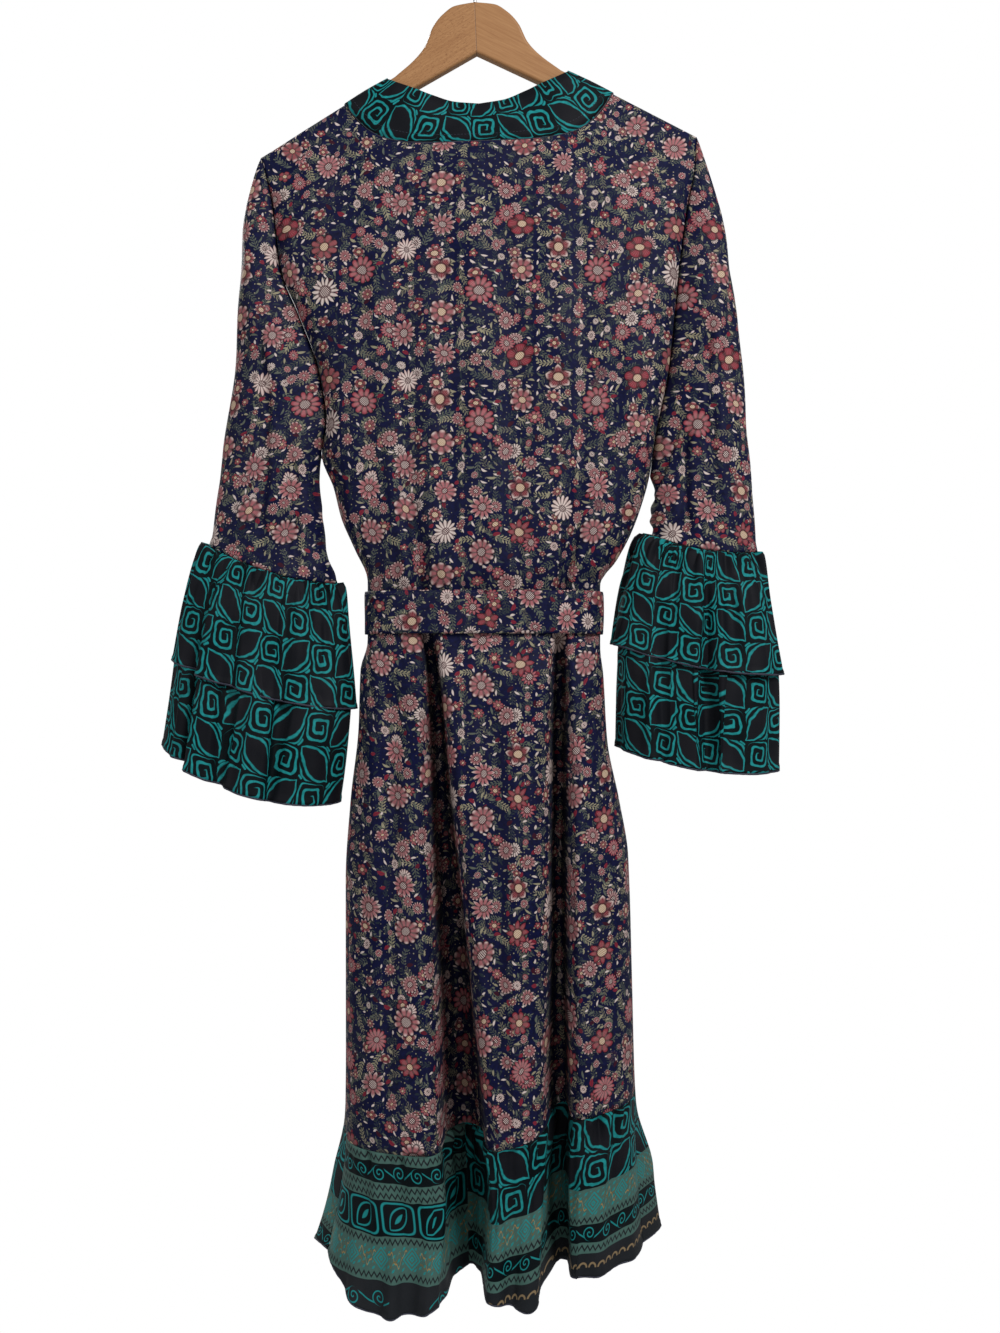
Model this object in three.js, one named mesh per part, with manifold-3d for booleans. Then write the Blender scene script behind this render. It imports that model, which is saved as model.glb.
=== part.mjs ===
// A long kimono robe with ruffled cuffs and hem, belted, on a wooden hanger that hangs by its hook.
// Millimetres. X runs to the wearer's left, the robe's front faces -Y and Z is up.
// The origin is the inside top of the hook, where a rod or a nail bears.
import * as THREE from "three";
import Module from "manifold-3d";
import { mergeVertices } from "three/addons/utils/BufferGeometryUtils.js";

// Cloth and seams
const WALL = 1.5; // one layer with its turnings, as a solid wall
const DOUBLE_WALL = 2; // the folded neck band and the belt
const SEAM = 0.3; // the gap between two pieces that are sewn together
const LAP = 5; // how far the left front lies outside the right one
const ROUND = 2.6; // the exponent of the rounded body sections

// Hanger and hook. The hanger hangs a little askew, turned about the hook.
const TILT = THREE.MathUtils.degToRad(2.4);
const HANGER_THICK = 12;
const HANGER_EDGE = 3;
const HANGER_CROWN = -64.5;
const HANGER_HALF = 203;
const HANGER_TIP = 8; // the length of each rounded tip
const HANGER_NOTCH = -115.6;
const HANGER_UNDER_SLOPE = 0.52;
const HANGER_ARM_SLOPE = 0.57;
const HANGER_SHOULDER = { u: 83, w: -136 };
const HANGER_SIDE = [
  { u: 20, w: -67.5 },
  { u: 33, w: -76 },
  { u: 43, w: -88 },
  { u: 51, w: -106 },
  { u: 62, w: -119 },
];
const HOOK_WIRE = 3.6;
const HOOK_INSIDE = 19; // the radius inside the hook's bend
const HOOK_SIDES = 8;
const HOOK_STEPS = 30;
// A blind hole in the crown holds the wire
const HOOK_HOLE = { wide: 4.4, foot: -76, wireFoot: -75.5, past: 10, sides: 12 };
const HOOK_STEM = -50;
const HOOK_ARC = { from: -50, to: 205, points: 9 }; // degrees round the bend

// Shoulder, neck and band, in the hanger's own tilted frame where u and w are named
const RIDGE = 9.5; // how far the cloth reaches out as it bends over the hanger
const RIDGE_SHAPE = 3;
const RIDGE_GAP = 0.9;
const NECK = { u: 134, w: -162.7, drop: 48, shape: 5 };
const SETTLE = 120; // the cloth takes the body's full depth this far below the shoulder
// The neck band from the middle of the back to the shoulder: where it is sewn on, and its top edge
const BAND = [
  { sewn: 0, u: 0, y: 9, w: -168 },
  { sewn: 34, u: 24, y: 11, w: -166 },
  { sewn: 66, u: 46, y: 12.5, w: -159 },
  { sewn: 92, u: 62, y: 12.5, w: -152 },
  { sewn: 108, u: 73, y: 12, w: -147.5, lift: 0.5 },
  { sewn: 119, u: 81, y: 11, w: -144, lift: 1.5 },
  { sewn: 127, u: 86, y: 10, w: -141.5, lift: 1.8 },
  { sewn: 131.5, u: 89, y: 8.8, w: -140, lift: 2 },
  { sewn: 133.4, u: 90, y: 6, w: -137.6, lift: 1.3 },
  { sewn: 134, u: 90, y: 0, w: -136.5, lift: 0.4 },
];
// The band down a front: how far below the shoulder, its width, and how much higher its free edge is
const BAND_FRONT = [
  { drop: 0.9, wide: 43, rise: 25.8, lift: 0.8 },
  { drop: 3, wide: 43, rise: 25.6, lift: 0.8 },
  { drop: 12, wide: 43, rise: 24.5, lift: 0.4 },
  { drop: 40, wide: 46, rise: 20 },
  { drop: 90, wide: 50, rise: 9 },
  { drop: 150, wide: 50, rise: 0 },
  { drop: 230, wide: 50, rise: 0 },
  { drop: 310, wide: 50, rise: 0 },
  { drop: 390, wide: 50, rise: 0 },
  { drop: 450, wide: 50, rise: 0 },
  { drop: 484, wide: 50, rise: 0 },
  { drop: 540, wide: 50, rise: 0 },
  { drop: 580, wide: 50, rise: 0 },
  { drop: 680, wide: 50, rise: 0 },
  { drop: 800, wide: 50, rise: 0 },
  { drop: 910, wide: 50, rise: 0 },
  { drop: 1100, wide: 50, rise: 0 },
];
const BAND_WIDTH = 50;
const BAND_SKEW = 0.072; // the tilt lifts one side's free edge by this share, and lowers the other's
const BAND_LIFT = 0.75; // between the band and the edge of the panel that it is sewn to

// Where the body's two edges run: the armhole seams, then the side seams down to the hem.
// "deep" is how far the edge stands off the middle plane.
const LEFT_EDGE = [
  { z: -216, x: 210, deep: 10 },
  { z: -264, x: 199, deep: 12 },
  { z: -333, x: 190, deep: 11 },
  { z: -375, x: 173, deep: 10 },
  { z: -434, x: 152, deep: 9 },
  { z: -484, x: 145, deep: 8 },
  { z: -516, x: 150, deep: 0 },
  { z: -549, x: 138, deep: 0 },
  { z: -580, x: 130, deep: 0 },
  { z: -610, x: 117, deep: 0 },
  { z: -642, x: 104, deep: 0 },
  { z: -702, x: 104, deep: 0 },
  { z: -730, x: 111, deep: 0 },
  { z: -788, x: 113, deep: 0 },
  { z: -860, x: 121, deep: 0 },
  { z: -940, x: 126, deep: 0 },
  { z: -1190, x: 126, deep: 0 },
  { z: -1345, x: 150, deep: 0 },
];
const RIGHT_EDGE = [
  { z: -200, x: -223, deep: 10 },
  { z: -235, x: -221, deep: 12 },
  { z: -266, x: -215, deep: 11 },
  { z: -325, x: -207, deep: 10 },
  { z: -432, x: -196, deep: 9 },
  { z: -497, x: -183, deep: 8 },
  { z: -538, x: -177, deep: 0 },
  { z: -570, x: -168, deep: 0 },
  { z: -596, x: -158, deep: 0 },
  { z: -622, x: -144, deep: 0 },
  { z: -645, x: -128, deep: 0 },
  { z: -708, x: -128, deep: 0 },
  { z: -735, x: -131, deep: 0 },
  { z: -800, x: -135, deep: 0 },
  { z: -860, x: -147, deep: 0 },
  { z: -915, x: -156, deep: 0 },
  { z: -1045, x: -160, deep: 0 },
  { z: -1160, x: -162, deep: 0 },
  { z: -1330, x: -172, deep: 0 },
];
const UNDERARM = { left: -516, right: -538 };
// Where the hem ruffle is sewn on behind and in front, and its lower edge
const SEAM_LINE = [
  { x: -165, z: -1152, front: -1152 },
  { x: -97, z: -1162, front: -1161.5 },
  { x: -45, z: -1182, front: -1168.7 },
  { x: 10, z: -1190, front: -1176.4 },
  { x: 130, z: -1193, front: -1193 },
];
const HEM_LINE = [
  { x: -175, z: -1302 },
  { x: -90, z: -1310 },
  { x: -60, z: -1330 },
  { x: 0, z: -1318 },
  { x: 40, z: -1332 },
  { x: 90, z: -1342 },
  { x: 116, z: -1336 },
  { x: 136, z: -1318 },
  { x: 152, z: -1300 },
];

// How far the back and the fronts stand off the middle plane, down the robe
const DEPTH = [
  { z: -150, back: 20, front: 16 },
  { z: -260, back: 33, front: 28 },
  { z: -400, back: 42, front: 36 },
  { z: -516, back: 47, front: 42 },
  { z: -600, back: 51, front: 48 },
  { z: -636, back: 49, front: 48 },
  { z: -648, back: 45, front: 45 },
  { z: -708, back: 45, front: 45 },
  { z: -735, back: 52, front: 52 },
  { z: -900, back: 62, front: 68 },
  { z: -1190, back: 72, front: 84 },
  { z: -1345, back: 84, front: 98 },
];

// The back's folds: a row for each place that a fold passes
const LEFT_FOLD = [
  { z: -230, x: 70, wide: 60, depth: 1 },
  { z: -400, x: 68, wide: 60, depth: 5 },
  { z: -560, x: 58, wide: 40, depth: 9 },
  { z: -625, x: 50, wide: 30, depth: 13 },
  { z: -655, x: 46, wide: 22, depth: 10 },
  { z: -695, x: 42, wide: 22, depth: 12 },
  { z: -780, x: 34, wide: 36, depth: 24 },
  { z: -900, x: 27, wide: 52, depth: 34 },
  { z: -1040, x: 16, wide: 66, depth: 44 },
  { z: -1190, x: 7, wide: 72, depth: 48 },
  { z: -1345, x: 2, wide: 56, depth: 40 },
];
const RIGHT_FOLD = [
  { z: -230, x: -105, wide: 60, depth: 1 },
  { z: -400, x: -112, wide: 50, depth: 5 },
  { z: -560, x: -105, wide: 36, depth: 9 },
  { z: -625, x: -94, wide: 26, depth: 13 },
  { z: -655, x: -88, wide: 22, depth: 10 },
  { z: -695, x: -87, wide: 22, depth: 12 },
  { z: -780, x: -87, wide: 34, depth: 24 },
  { z: -900, x: -86, wide: 40, depth: 30 },
  { z: -1040, x: -87, wide: 46, depth: 34 },
  { z: -1190, x: -88, wide: 50, depth: 36 },
  { z: -1345, x: -90, wide: 40, depth: 30 },
];
// Softer folds: x where the fold starts and ends, and from which height to which
const BACK_SOFT = [
  { x0: 20, x1: 14, from: -250, to: -650, wide: 46, depth: 4 },
  { x0: -40, x1: -46, from: -300, to: -650, wide: 44, depth: 4 },
  { x0: 112, x1: 88, from: -290, to: -650, wide: 40, depth: 5 },
  { x0: -150, x1: -118, from: -330, to: -640, wide: 34, depth: 4 },
  { x0: -20, x1: -28, from: -690, to: -1190, wide: 40, depth: 7 },
  { x0: -58, x1: -62, from: -690, to: -1190, wide: 30, depth: 5 },
  { x0: 76, x1: 84, from: -690, to: -1190, wide: 34, depth: 7 },
];
const FRONT_SOFT = [
  { x0: 152, x1: 84, from: -240, to: -650, wide: 44, depth: 6 },
  { x0: -168, x1: -104, from: -240, to: -650, wide: 44, depth: 6 },
  { x0: 74, x1: 88, from: -690, to: -1190, wide: 46, depth: 12 },
  { x0: -88, x1: -112, from: -690, to: -1190, wide: 46, depth: 12 },
  { x0: -52, x1: -66, from: -690, to: -1190, wide: 30, depth: 6 },
];
// The share by which the skirt is wider SPREAD_DEPTH in front of the middle, and narrower behind it
const SPREAD_DEPTH = 70;
const SPREAD = [
  { z: -720, front: 0, back: 0 },
  { z: -1000, front: 0.05, back: 0.03 },
  { z: -1165, front: 0.11, back: 0.05 },
  { z: -1240, front: 0.29, back: 0.07 },
  { z: -1345, front: 0.31, back: 0.09 },
];
// The front edges, where the band is sewn on
const FRONT_EDGE = [
  { z: -166, left: 127, right: -141 },
  { z: -260, left: 108, right: -120 },
  { z: -400, left: 70, right: -82 },
  { z: -560, left: 22, right: -34 },
  { z: -655, left: -8, right: -4 },
  { z: -700, left: -16, right: 4 },
  { z: -900, left: -20, right: 8 },
  { z: -1200, left: -20, right: 8 },
];

// Sleeves and cuffs. "outer" and "inner" are the two lines that show from behind.
const SLEEVE = {
  left: {
    outer: [
      { x: 210, z: -219 },
      { x: 217, z: -232 },
      { x: 224, z: -258 },
      { x: 229, z: -290 },
      { x: 231, z: -345 },
      { x: 233, z: -390 },
      { x: 240, z: -445 },
      { x: 250, z: -520 },
      { x: 262, z: -605 },
    ],
    inner: [
      { x: 150, z: -516 },
      { x: 153, z: -545 },
      { x: 149, z: -582 },
      { x: 144, z: -612 },
      { x: 137, z: -644 },
    ],
    depth: 29,
    folds: [
      { at: 0.42, from: 0.12, to: 0.85, wide: 0.2, depth: 6 },
      { at: 0.74, from: 0.3, to: 0.85, wide: 0.16, depth: 5 },
    ],
  },
  right: {
    outer: [
      { x: -223, z: -200 },
      { x: -232, z: -212 },
      { x: -240, z: -235 },
      { x: -247, z: -262 },
      { x: -256, z: -310 },
      { x: -266, z: -400 },
      { x: -274, z: -480 },
      { x: -281, z: -565 },
      { x: -285, z: -612 },
    ],
    inner: [
      { x: -177, z: -538 },
      { x: -181, z: -553 },
      { x: -180, z: -575 },
      { x: -179, z: -596 },
    ],
    depth: 29,
    folds: [
      { at: 0.4, from: 0.15, to: 0.85, wide: 0.18, depth: 5 },
      { at: 0.7, from: 0.3, to: 0.85, wide: 0.18, depth: 6 },
    ],
  },
};
const CUFF = {
  left: {
    upper: { outer: { x: 301, z: -718 }, inner: { x: 118, z: -768 }, depth: 50, sag: 10 },
    lower: { outer: { x: 309, z: -804 }, inner: { x: 134, z: -860 }, depth: 54, sag: 17 },
    folds: [
      { at: 0.14, wide: 0.14, depth: 15 },
      { at: 0.36, wide: 0.12, depth: 9 },
      { at: 0.66, wide: 0.12, depth: 8 },
    ],
    phase: 0.4,
  },
  right: {
    upper: { outer: { x: -308, z: -734 }, inner: { x: -141, z: -704 }, depth: 50, sag: 9 },
    lower: { outer: { x: -302, z: -829 }, inner: { x: -144, z: -806 }, depth: 54, sag: 9 },
    folds: [
      { at: 0.46, wide: 0.16, depth: 20 },
      { at: 0.76, wide: 0.12, depth: 7 },
    ],
    phase: 1.7,
  },
};
const CUFF_WAVES = 8;
const CUFF_WAVE_DEPTH = 5;
const SLEEVE_SAG = 9; // the back of a sleeve's end hangs this much lower than its two sides
const TIER_GAP = 3.5; // between the upper tier and the lower one inside it
const TIER_EASE = 0.3; // the share of the upper tier over which that gap opens, from the seam they share
const TUBE_SHAPE = 0.85; // how round a sleeve's section is
const SLEEVE_BOW = 13; // the upper sleeve bows this far out from the line of the armhole
const SLEEVE_GAP = 0.6; // between the armhole's two sides
const SLEEVE_SEAM_EASE = 0.2; // the share of the sleeve over which it takes its own shape

// Hem ruffle
const HEM_WAVES = 9;
const HEM_WAVE_DEPTH = 7;

// Belt
const BELT = { top: -653, bottom: -695, off: 2.8, ease: 6, columns: 44 };
const KNOT = { x: -12, z: -675, wide: 44, tall: 36, thick: 12, round: 10, edge: 4 };
const BELT_FRONT = -57; // the tails leave the knot this far in front
const TAIL_WIDTH = 40;
const TAIL_STEPS = 6;
const TAILS = [
  { name: "belt_tail_left", x0: 9, x1: 28, end: -1010 },
  { name: "belt_tail_right", x0: -34, x1: -56, end: -975 },
];

// Rows and columns of the walls
const UPPER_ROWS = [0, 0.003, 0.014, 0.067, 0.146, 0.25, 0.37, 0.5, 0.63, 0.75, 0.854, 0.933, 0.983, 1];
const LOWER_ROWS = [0.06, 0.12, 0.16, 0.188, 0.275, 0.3, 0.37, 0.48, 0.61, 0.74, 0.87, 1];
const RUFFLE_ROWS = [0, 0.25, 0.5, 0.75, 1];
const SLEEVE_ROWS = [0, 0.03, 0.08, 0.16, 0.28, 0.4, 0.52, 0.64, 0.76, 0.88, 1];
const CUFF_ROWS = [0, 0.2, 0.45, 0.72, 1];
const CUFF_COLUMNS = 36;
// Columns from the right side to the neck's corner, a narrow strip there, to the right fold, to the
// left fold, to the strip at the other corner, and to the left side
const BACK_COLUMNS = [6, 1, 6, 15, 8, 1, 7];
const HEM_COLUMNS = [5, 1, 8, 20, 11, 1, 6];
const STRIP = 6.2;
const CORNER_STEPS = [0, 0.0008, 0.002, 0.004, 0.007]; // shares of the body, close by the neck's corner
const NECK_SHARE = { top: 0.6195, low: 0.82, from: -200, over: 300 };
const FRONT_COLUMNS = 11;
const HEM_FRONT_COLUMNS = 24;
const FINE = 240; // points on a row before it is divided into columns

// Colours, as they look on the cloth from a step away
const MATERIALS = {
  floral: { color: 0x4a3450, roughness: 0.6, metalness: 0 },
  teal_print: { color: 0x11524f, roughness: 0.55, metalness: 0 },
  wood: { color: 0xb98a58, roughness: 0.5, metalness: 0 },
  steel: { color: 0xb9bcc0, roughness: 0.3, metalness: 1 },
};

const mix = (a, b, t) => a + (b - a) * t;
const clamp01 = (t) => Math.min(1, Math.max(0, t));
const smooth = (t) => clamp01(t) ** 2 * (3 - 2 * clamp01(t));
const point = (x, y, z) => new THREE.Vector3(x, y, z);

// A value of a table at a height or place, on a smooth line through its rows that never overshoots
function read(table, key, at, name) {
  const sign = Math.sign(table[1][key] - table[0][key]);
  const last = table.length - 1;
  if ((at - table[0][key]) * sign <= 0) return table[0][name];
  if ((at - table[last][key]) * sign >= 0) return table[last][name];
  let i = 0;
  while ((at - table[i + 1][key]) * sign > 0) i += 1;
  const slope = (k) => (table[k + 1][name] - table[k][name]) / (table[k + 1][key] - table[k][key]);
  const tangent = (k) => {
    if (k === 0) return slope(0);
    if (k === last) return slope(last - 1);
    const [a, b] = [slope(k - 1), slope(k)];
    return a * b <= 0 ? 0 : (2 * a * b) / (a + b);
  };
  const wide = table[i + 1][key] - table[i][key];
  const t = (at - table[i][key]) / wide;
  const start = (1 + 2 * t) * (1 - t) ** 2 * table[i][name] + t * (1 - t) ** 2 * wide * tangent(i);
  const end = t * t * (3 - 2 * t) * table[i + 1][name] + t * t * (t - 1) * wide * tangent(i + 1);
  return start + end;
}

// The point at a share of a line's length
function alongLine(line, share) {
  const steps = line.slice(1).map((p, i) => Math.hypot(p.x - line[i].x, p.z - line[i].z));
  let left = share * steps.reduce((sum, step) => sum + step, 0);
  for (let i = 0; i < steps.length; i += 1) {
    if (left <= steps[i] || i === steps.length - 1) {
      const t = left / steps[i];
      return { x: mix(line[i].x, line[i + 1].x, t), z: mix(line[i].z, line[i + 1].z, t) };
    }
    left -= steps[i];
  }
  return line[0];
}

// A cloth wall as one closed body. The rows hold its outer points; it is thick towards the other side.
// "facing" is 1 where columns cross rows points outwards, and "ring" joins the last column to the first.
// "square" names the axis along which the first or last row's edge face has no slant, where another
// piece is sewn on. Edges on the middle plane keep their inner points on it.
function clothWall(rows, { thick = WALL, facing = 1, ring = false, square = [] } = {}) {
  const count = rows[0].length;
  const wrap = (c) => (ring ? (c + count) % count : Math.min(count - 1, Math.max(0, c)));
  const inner = rows.map((row, r) =>
    row.map((p, c) => {
      const across = row[wrap(c + 1)].clone().sub(row[wrap(c - 1)]);
      const down = rows[Math.min(rows.length - 1, r + 1)][c].clone().sub(rows[Math.max(0, r - 1)][c]);
      const normal = across.cross(down);
      if (square[0] && r === 0) normal[square[0]] = 0;
      if (square[1] && r === rows.length - 1) normal[square[1]] = 0;
      if (Math.abs(p.y) < SEAM && Math.hypot(normal.x, normal.z) > 0) normal.y = 0;
      return p.clone().addScaledVector(normal.normalize(), -facing * thick);
    }),
  );
  const places = [];
  const index = [];
  const outerAt = (r, c) => r * count + wrap(c);
  const innerAt = (r, c) => (rows.length + r) * count + wrap(c);
  [...rows, ...inner].forEach((row) => row.forEach((p) => places.push(p.x, p.y, p.z)));
  const quad = (a, b, c, d) => {
    if (facing > 0) index.push(a, b, c, a, c, d);
    else index.push(a, c, b, a, d, c);
  };
  const lastColumn = ring ? count : count - 1;
  for (let r = 0; r < rows.length - 1; r += 1) {
    for (let c = 0; c < lastColumn; c += 1) {
      quad(outerAt(r, c), outerAt(r, c + 1), outerAt(r + 1, c + 1), outerAt(r + 1, c));
      quad(innerAt(r, c), innerAt(r + 1, c), innerAt(r + 1, c + 1), innerAt(r, c + 1));
    }
  }
  const end = rows.length - 1;
  for (let c = 0; c < lastColumn; c += 1) {
    quad(outerAt(0, c), innerAt(0, c), innerAt(0, c + 1), outerAt(0, c + 1));
    quad(outerAt(end, c), outerAt(end, c + 1), innerAt(end, c + 1), innerAt(end, c));
  }
  if (!ring) {
    const side = count - 1;
    for (let r = 0; r < end; r += 1) {
      quad(outerAt(r, 0), outerAt(r + 1, 0), innerAt(r + 1, 0), innerAt(r, 0));
      quad(outerAt(r, side), innerAt(r, side), innerAt(r + 1, side), outerAt(r + 1, side));
    }
  }
  const geometry = new THREE.BufferGeometry();
  geometry.setAttribute("position", new THREE.Float32BufferAttribute(places, 3));
  geometry.setIndex(index);
  geometry.computeVertexNormals();
  return geometry;
}

// Hanger frame to the robe's frame, and the top of the hanger's arm
const fromHanger = (u, y, w) =>
  point(u * Math.cos(TILT) + w * Math.sin(TILT), y, -u * Math.sin(TILT) + w * Math.cos(TILT));
const armTop = (u) => HANGER_SHOULDER.w - HANGER_ARM_SLOPE * (Math.abs(u) - HANGER_SHOULDER.u);
const armRise = Math.hypot(1, HANGER_ARM_SLOPE);

// The cloth's outer line over the shoulders, and the seam of the neck between them
const neckOpen = (u) => 1 - Math.min(1, Math.abs(u) / NECK.u) ** NECK.shape;
const neckFall = (u) => NECK.w - NECK.drop * neckOpen(u);
const ridgeLine = (u) =>
  armTop(Math.max(Math.abs(u), HANGER_SHOULDER.u)) + (WALL + RIDGE_GAP) * armRise;
// The height at which a line of the hanger's frame passes over x
function heightAt(x, line) {
  let u = x;
  for (let i = 0; i < 6; i += 1) u = (x - line(u) * Math.sin(TILT)) / Math.cos(TILT);
  return fromHanger(u, 0, line(u)).z;
}
const ridgeHeight = (x) => heightAt(x, ridgeLine);
function topOfCloth(x, face) {
  const open = (u) => (face > 0 && Math.abs(u) < NECK.u ? neckFall(u) : ridgeLine(u));
  return heightAt(x, open);
}

const edge = (side, z, name) => read(side > 0 ? LEFT_EDGE : RIGHT_EDGE, "z", z, name);
const frontEdge = (side, z) => read(FRONT_EDGE, "z", z, side > 0 ? "left" : "right");
const ridgeAt = (drop) =>
  RIDGE * (1 - (1 - clamp01(drop / RIDGE)) ** RIDGE_SHAPE) ** (1 / RIDGE_SHAPE);

// How far a fold of a cosine shape is sunk at x
function sunk(x, centre, wide, depth) {
  const off = Math.abs(x - centre) / wide;
  return off < 0.5 ? depth * Math.cos(Math.PI * off) ** 2 : 0;
}
function softFolds(folds, x, z) {
  return folds.reduce((sum, f) => {
    const t = (f.from - z) / (f.from - f.to);
    const strength = smooth(t / 0.25) * smooth((1 - t) / 0.12);
    return sum + sunk(x, mix(f.x0, f.x1, clamp01(t)), f.wide, f.depth * strength);
  }, 0);
}

// How far outside the band a point of a front is
const fromBand = (x, z) => {
  const side = x > (frontEdge(1, z) + frontEdge(-1, z)) / 2 ? 1 : -1;
  return side * (x - frontEdge(side, z));
};

// The body's distance from the middle plane at x and z, on the back (face 1) or the fronts (face -1)
function bodyDepth(face, x, z, folded = true) {
  const left = edge(1, z, "x");
  const right = edge(-1, z, "x");
  const share = (2 * x - left - right) / (left - right);
  const low = edge(Math.sign(share) || 1, z, "deep");
  const round = Math.max(0, 1 - Math.abs(share) ** ROUND) ** (1 / ROUND);
  const full = mix(low, read(DEPTH, "z", z, face > 0 ? "back" : "front"), round);
  const drop = ridgeHeight(x) - z;
  const base = mix(ridgeAt(drop), full, smooth(drop / SETTLE));
  if (!folded) return base;
  const sink =
    face > 0
      ? softFolds(BACK_SOFT, x, z) +
        [LEFT_FOLD, RIGHT_FOLD].reduce(
          (sum, fold) =>
            sum + sunk(x, read(fold, "z", z, "x"), read(fold, "z", z, "wide"), read(fold, "z", z, "depth")),
          0,
        )
      : softFolds(FRONT_SOFT, x, z) * smooth(fromBand(x, z) / 40);
  return base - sink * round;
}

// Heights across the body: lines from the shoulder to the underarm, to the ruffle's seam, to the hem
const across = (x, line) => {
  const left = LEFT_EDGE[0].x;
  const right = RIGHT_EDGE[0].x;
  return mix(line.right, line.left, clamp01((x - right) / (left - right)));
};
const upperLine = (share, face) => (x) => mix(topOfCloth(x, face), across(x, UNDERARM), share);
const seamAt = (x, face) => read(SEAM_LINE, "x", x, face > 0 ? "z" : "front");
const lowerLine = (share, face) => (x) => mix(across(x, UNDERARM), seamAt(x, face), share);
const hemLine = (share, face) => (x) => mix(seamAt(x, face) - SEAM, read(HEM_LINE, "x", x, "z"), share);

// Where a line of heights meets a share of the body's width (-1 right, 1 left)
function placeOn(line, share) {
  let z = line(0);
  let x = 0;
  for (let k = 0; k < 6; k += 1) {
    const left = edge(1, z, "x");
    const right = edge(-1, z, "x");
    x = (left + right) / 2 + (share * (left - right)) / 2;
    z = line(x);
  }
  return { x, z };
}

// The left front lies over the right one from just above their crossing, easing off to its side
const overlap = (x, z) => smooth((-z - 330) / 110) * smooth((edge(1, z, "x") - x) / 40);
const frontY = (x, z, lap, folded = true) => -(bodyDepth(-1, x, z, folded) + lap * overlap(x, z));

// A row of fine points right across the back or the fronts
function fineRow(face, line, lap = 0) {
  const even = Array.from({ length: FINE + 1 }, (_, i) => -Math.cos((Math.PI * i) / FINE));
  const close = CORNER_STEPS.flatMap((step) => [NECK_SHARE.top - step, step - NECK_SHARE.top]);
  return [...even, ...close].sort((a, b) => a - b).map((share) => {
    const { x, z } = placeOn(line, share);
    const y = face > 0 ? bodyDepth(1, x, z) : frontY(x, z, lap);
    return point(x, face * Math.max(SEAM / 2, Math.abs(y)), z);
  });
}

// Even steps along a row's length, between stations that fall on set columns
function divide(row, stations, columns) {
  const lengths = [0];
  for (let i = 1; i < row.length; i += 1) lengths.push(lengths[i - 1] + row[i].distanceTo(row[i - 1]));
  const at = (length) => {
    let i = 1;
    while (i < row.length - 1 && lengths[i] < length) i += 1;
    const t = (length - lengths[i - 1]) / (lengths[i] - lengths[i - 1]);
    return row[i - 1].clone().lerp(row[i], clamp01(t));
  };
  const lengthAtX = (x) => {
    let i = 1;
    while (i < row.length - 1 && row[i].x < x) i += 1;
    return mix(lengths[i - 1], lengths[i], clamp01((x - row[i - 1].x) / (row[i].x - row[i - 1].x)));
  };
  const stops = [0, ...stations.map(({ x, on = 0 }) => lengthAtX(x) + on), lengths[lengths.length - 1]];
  const points = [at(0)];
  columns.forEach((count, k) => {
    for (let c = 1; c <= count; c += 1) points.push(at(mix(stops[k], stops[k + 1], c / count)));
  });
  return points;
}

// Ruffle waves: two uneven sines, so that no two waves are alike
const wave = (turns, count, phase) =>
  0.65 * Math.sin(2 * Math.PI * count * turns + phase) +
  0.35 * Math.sin(2 * Math.PI * (count * 0.62) * turns + 2.3 * phase + 1);

// Moves a row's points along their level normals by an amount for each place across the body
function pushOut(row, amount, face) {
  return row.map((p, i) => {
    const ahead = row[Math.min(row.length - 1, i + 1)];
    const behind = row[Math.max(0, i - 1)];
    const normal = point(behind.y - ahead.y, ahead.x - behind.x, 0).normalize();
    const share = (p.x - edge(-1, p.z, "x")) / (edge(1, p.z, "x") - edge(-1, p.z, "x"));
    return p.clone().addScaledVector(normal, face * amount(clamp01(share)));
  });
}

const bodyLines = (face) => [
  ...UPPER_ROWS.map((share) => upperLine(share, face)),
  ...LOWER_ROWS.map((share) => lowerLine(share, face)),
];

function backRow(line, columns) {
  const z = line(0);
  const corner = mix(NECK_SHARE.top, NECK_SHARE.low, smooth((NECK_SHARE.from - z) / NECK_SHARE.over));
  const right = placeOn(line, -corner).x;
  const left = placeOn(line, corner).x;
  const stations = [
    { x: right },
    { x: right, on: STRIP },
    { x: read(RIGHT_FOLD, "z", z, "x") },
    { x: read(LEFT_FOLD, "z", z, "x") },
    { x: left, on: -STRIP },
    { x: left },
  ];
  return divide(fineRow(1, line), stations, columns);
}
function backPanel() {
  const rows = bodyLines(1).map((line) => backRow(line, BACK_COLUMNS));
  return clothWall(rows, { facing: 1, square: [null, "z"] });
}

// A front runs from its armhole and side seam to the edge where the band starts, and its ruffle on
// to the band's free edge
function frontRow(side, line, columns, reach = 0) {
  const row = fineRow(-1, line, side > 0 ? LAP : 0);
  const stop = (p) => frontEdge(side, p.z) - side * (reach - SEAM);
  const kept = row.filter((p) => side * (p.x - stop(p)) > 0);
  const last = side > 0 ? kept[0] : kept[kept.length - 1];
  const x = stop(last);
  const end = point(x, frontY(x, last.z, side > 0 ? LAP : 0), line(x));
  return divide(side > 0 ? [end, ...kept] : [...kept, end], [], [columns]);
}
function frontPanel(side) {
  const rows = bodyLines(-1).map((line) => frontRow(side, line, FRONT_COLUMNS));
  return clothWall(rows, { facing: -1, square: [null, "z"] });
}

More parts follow.
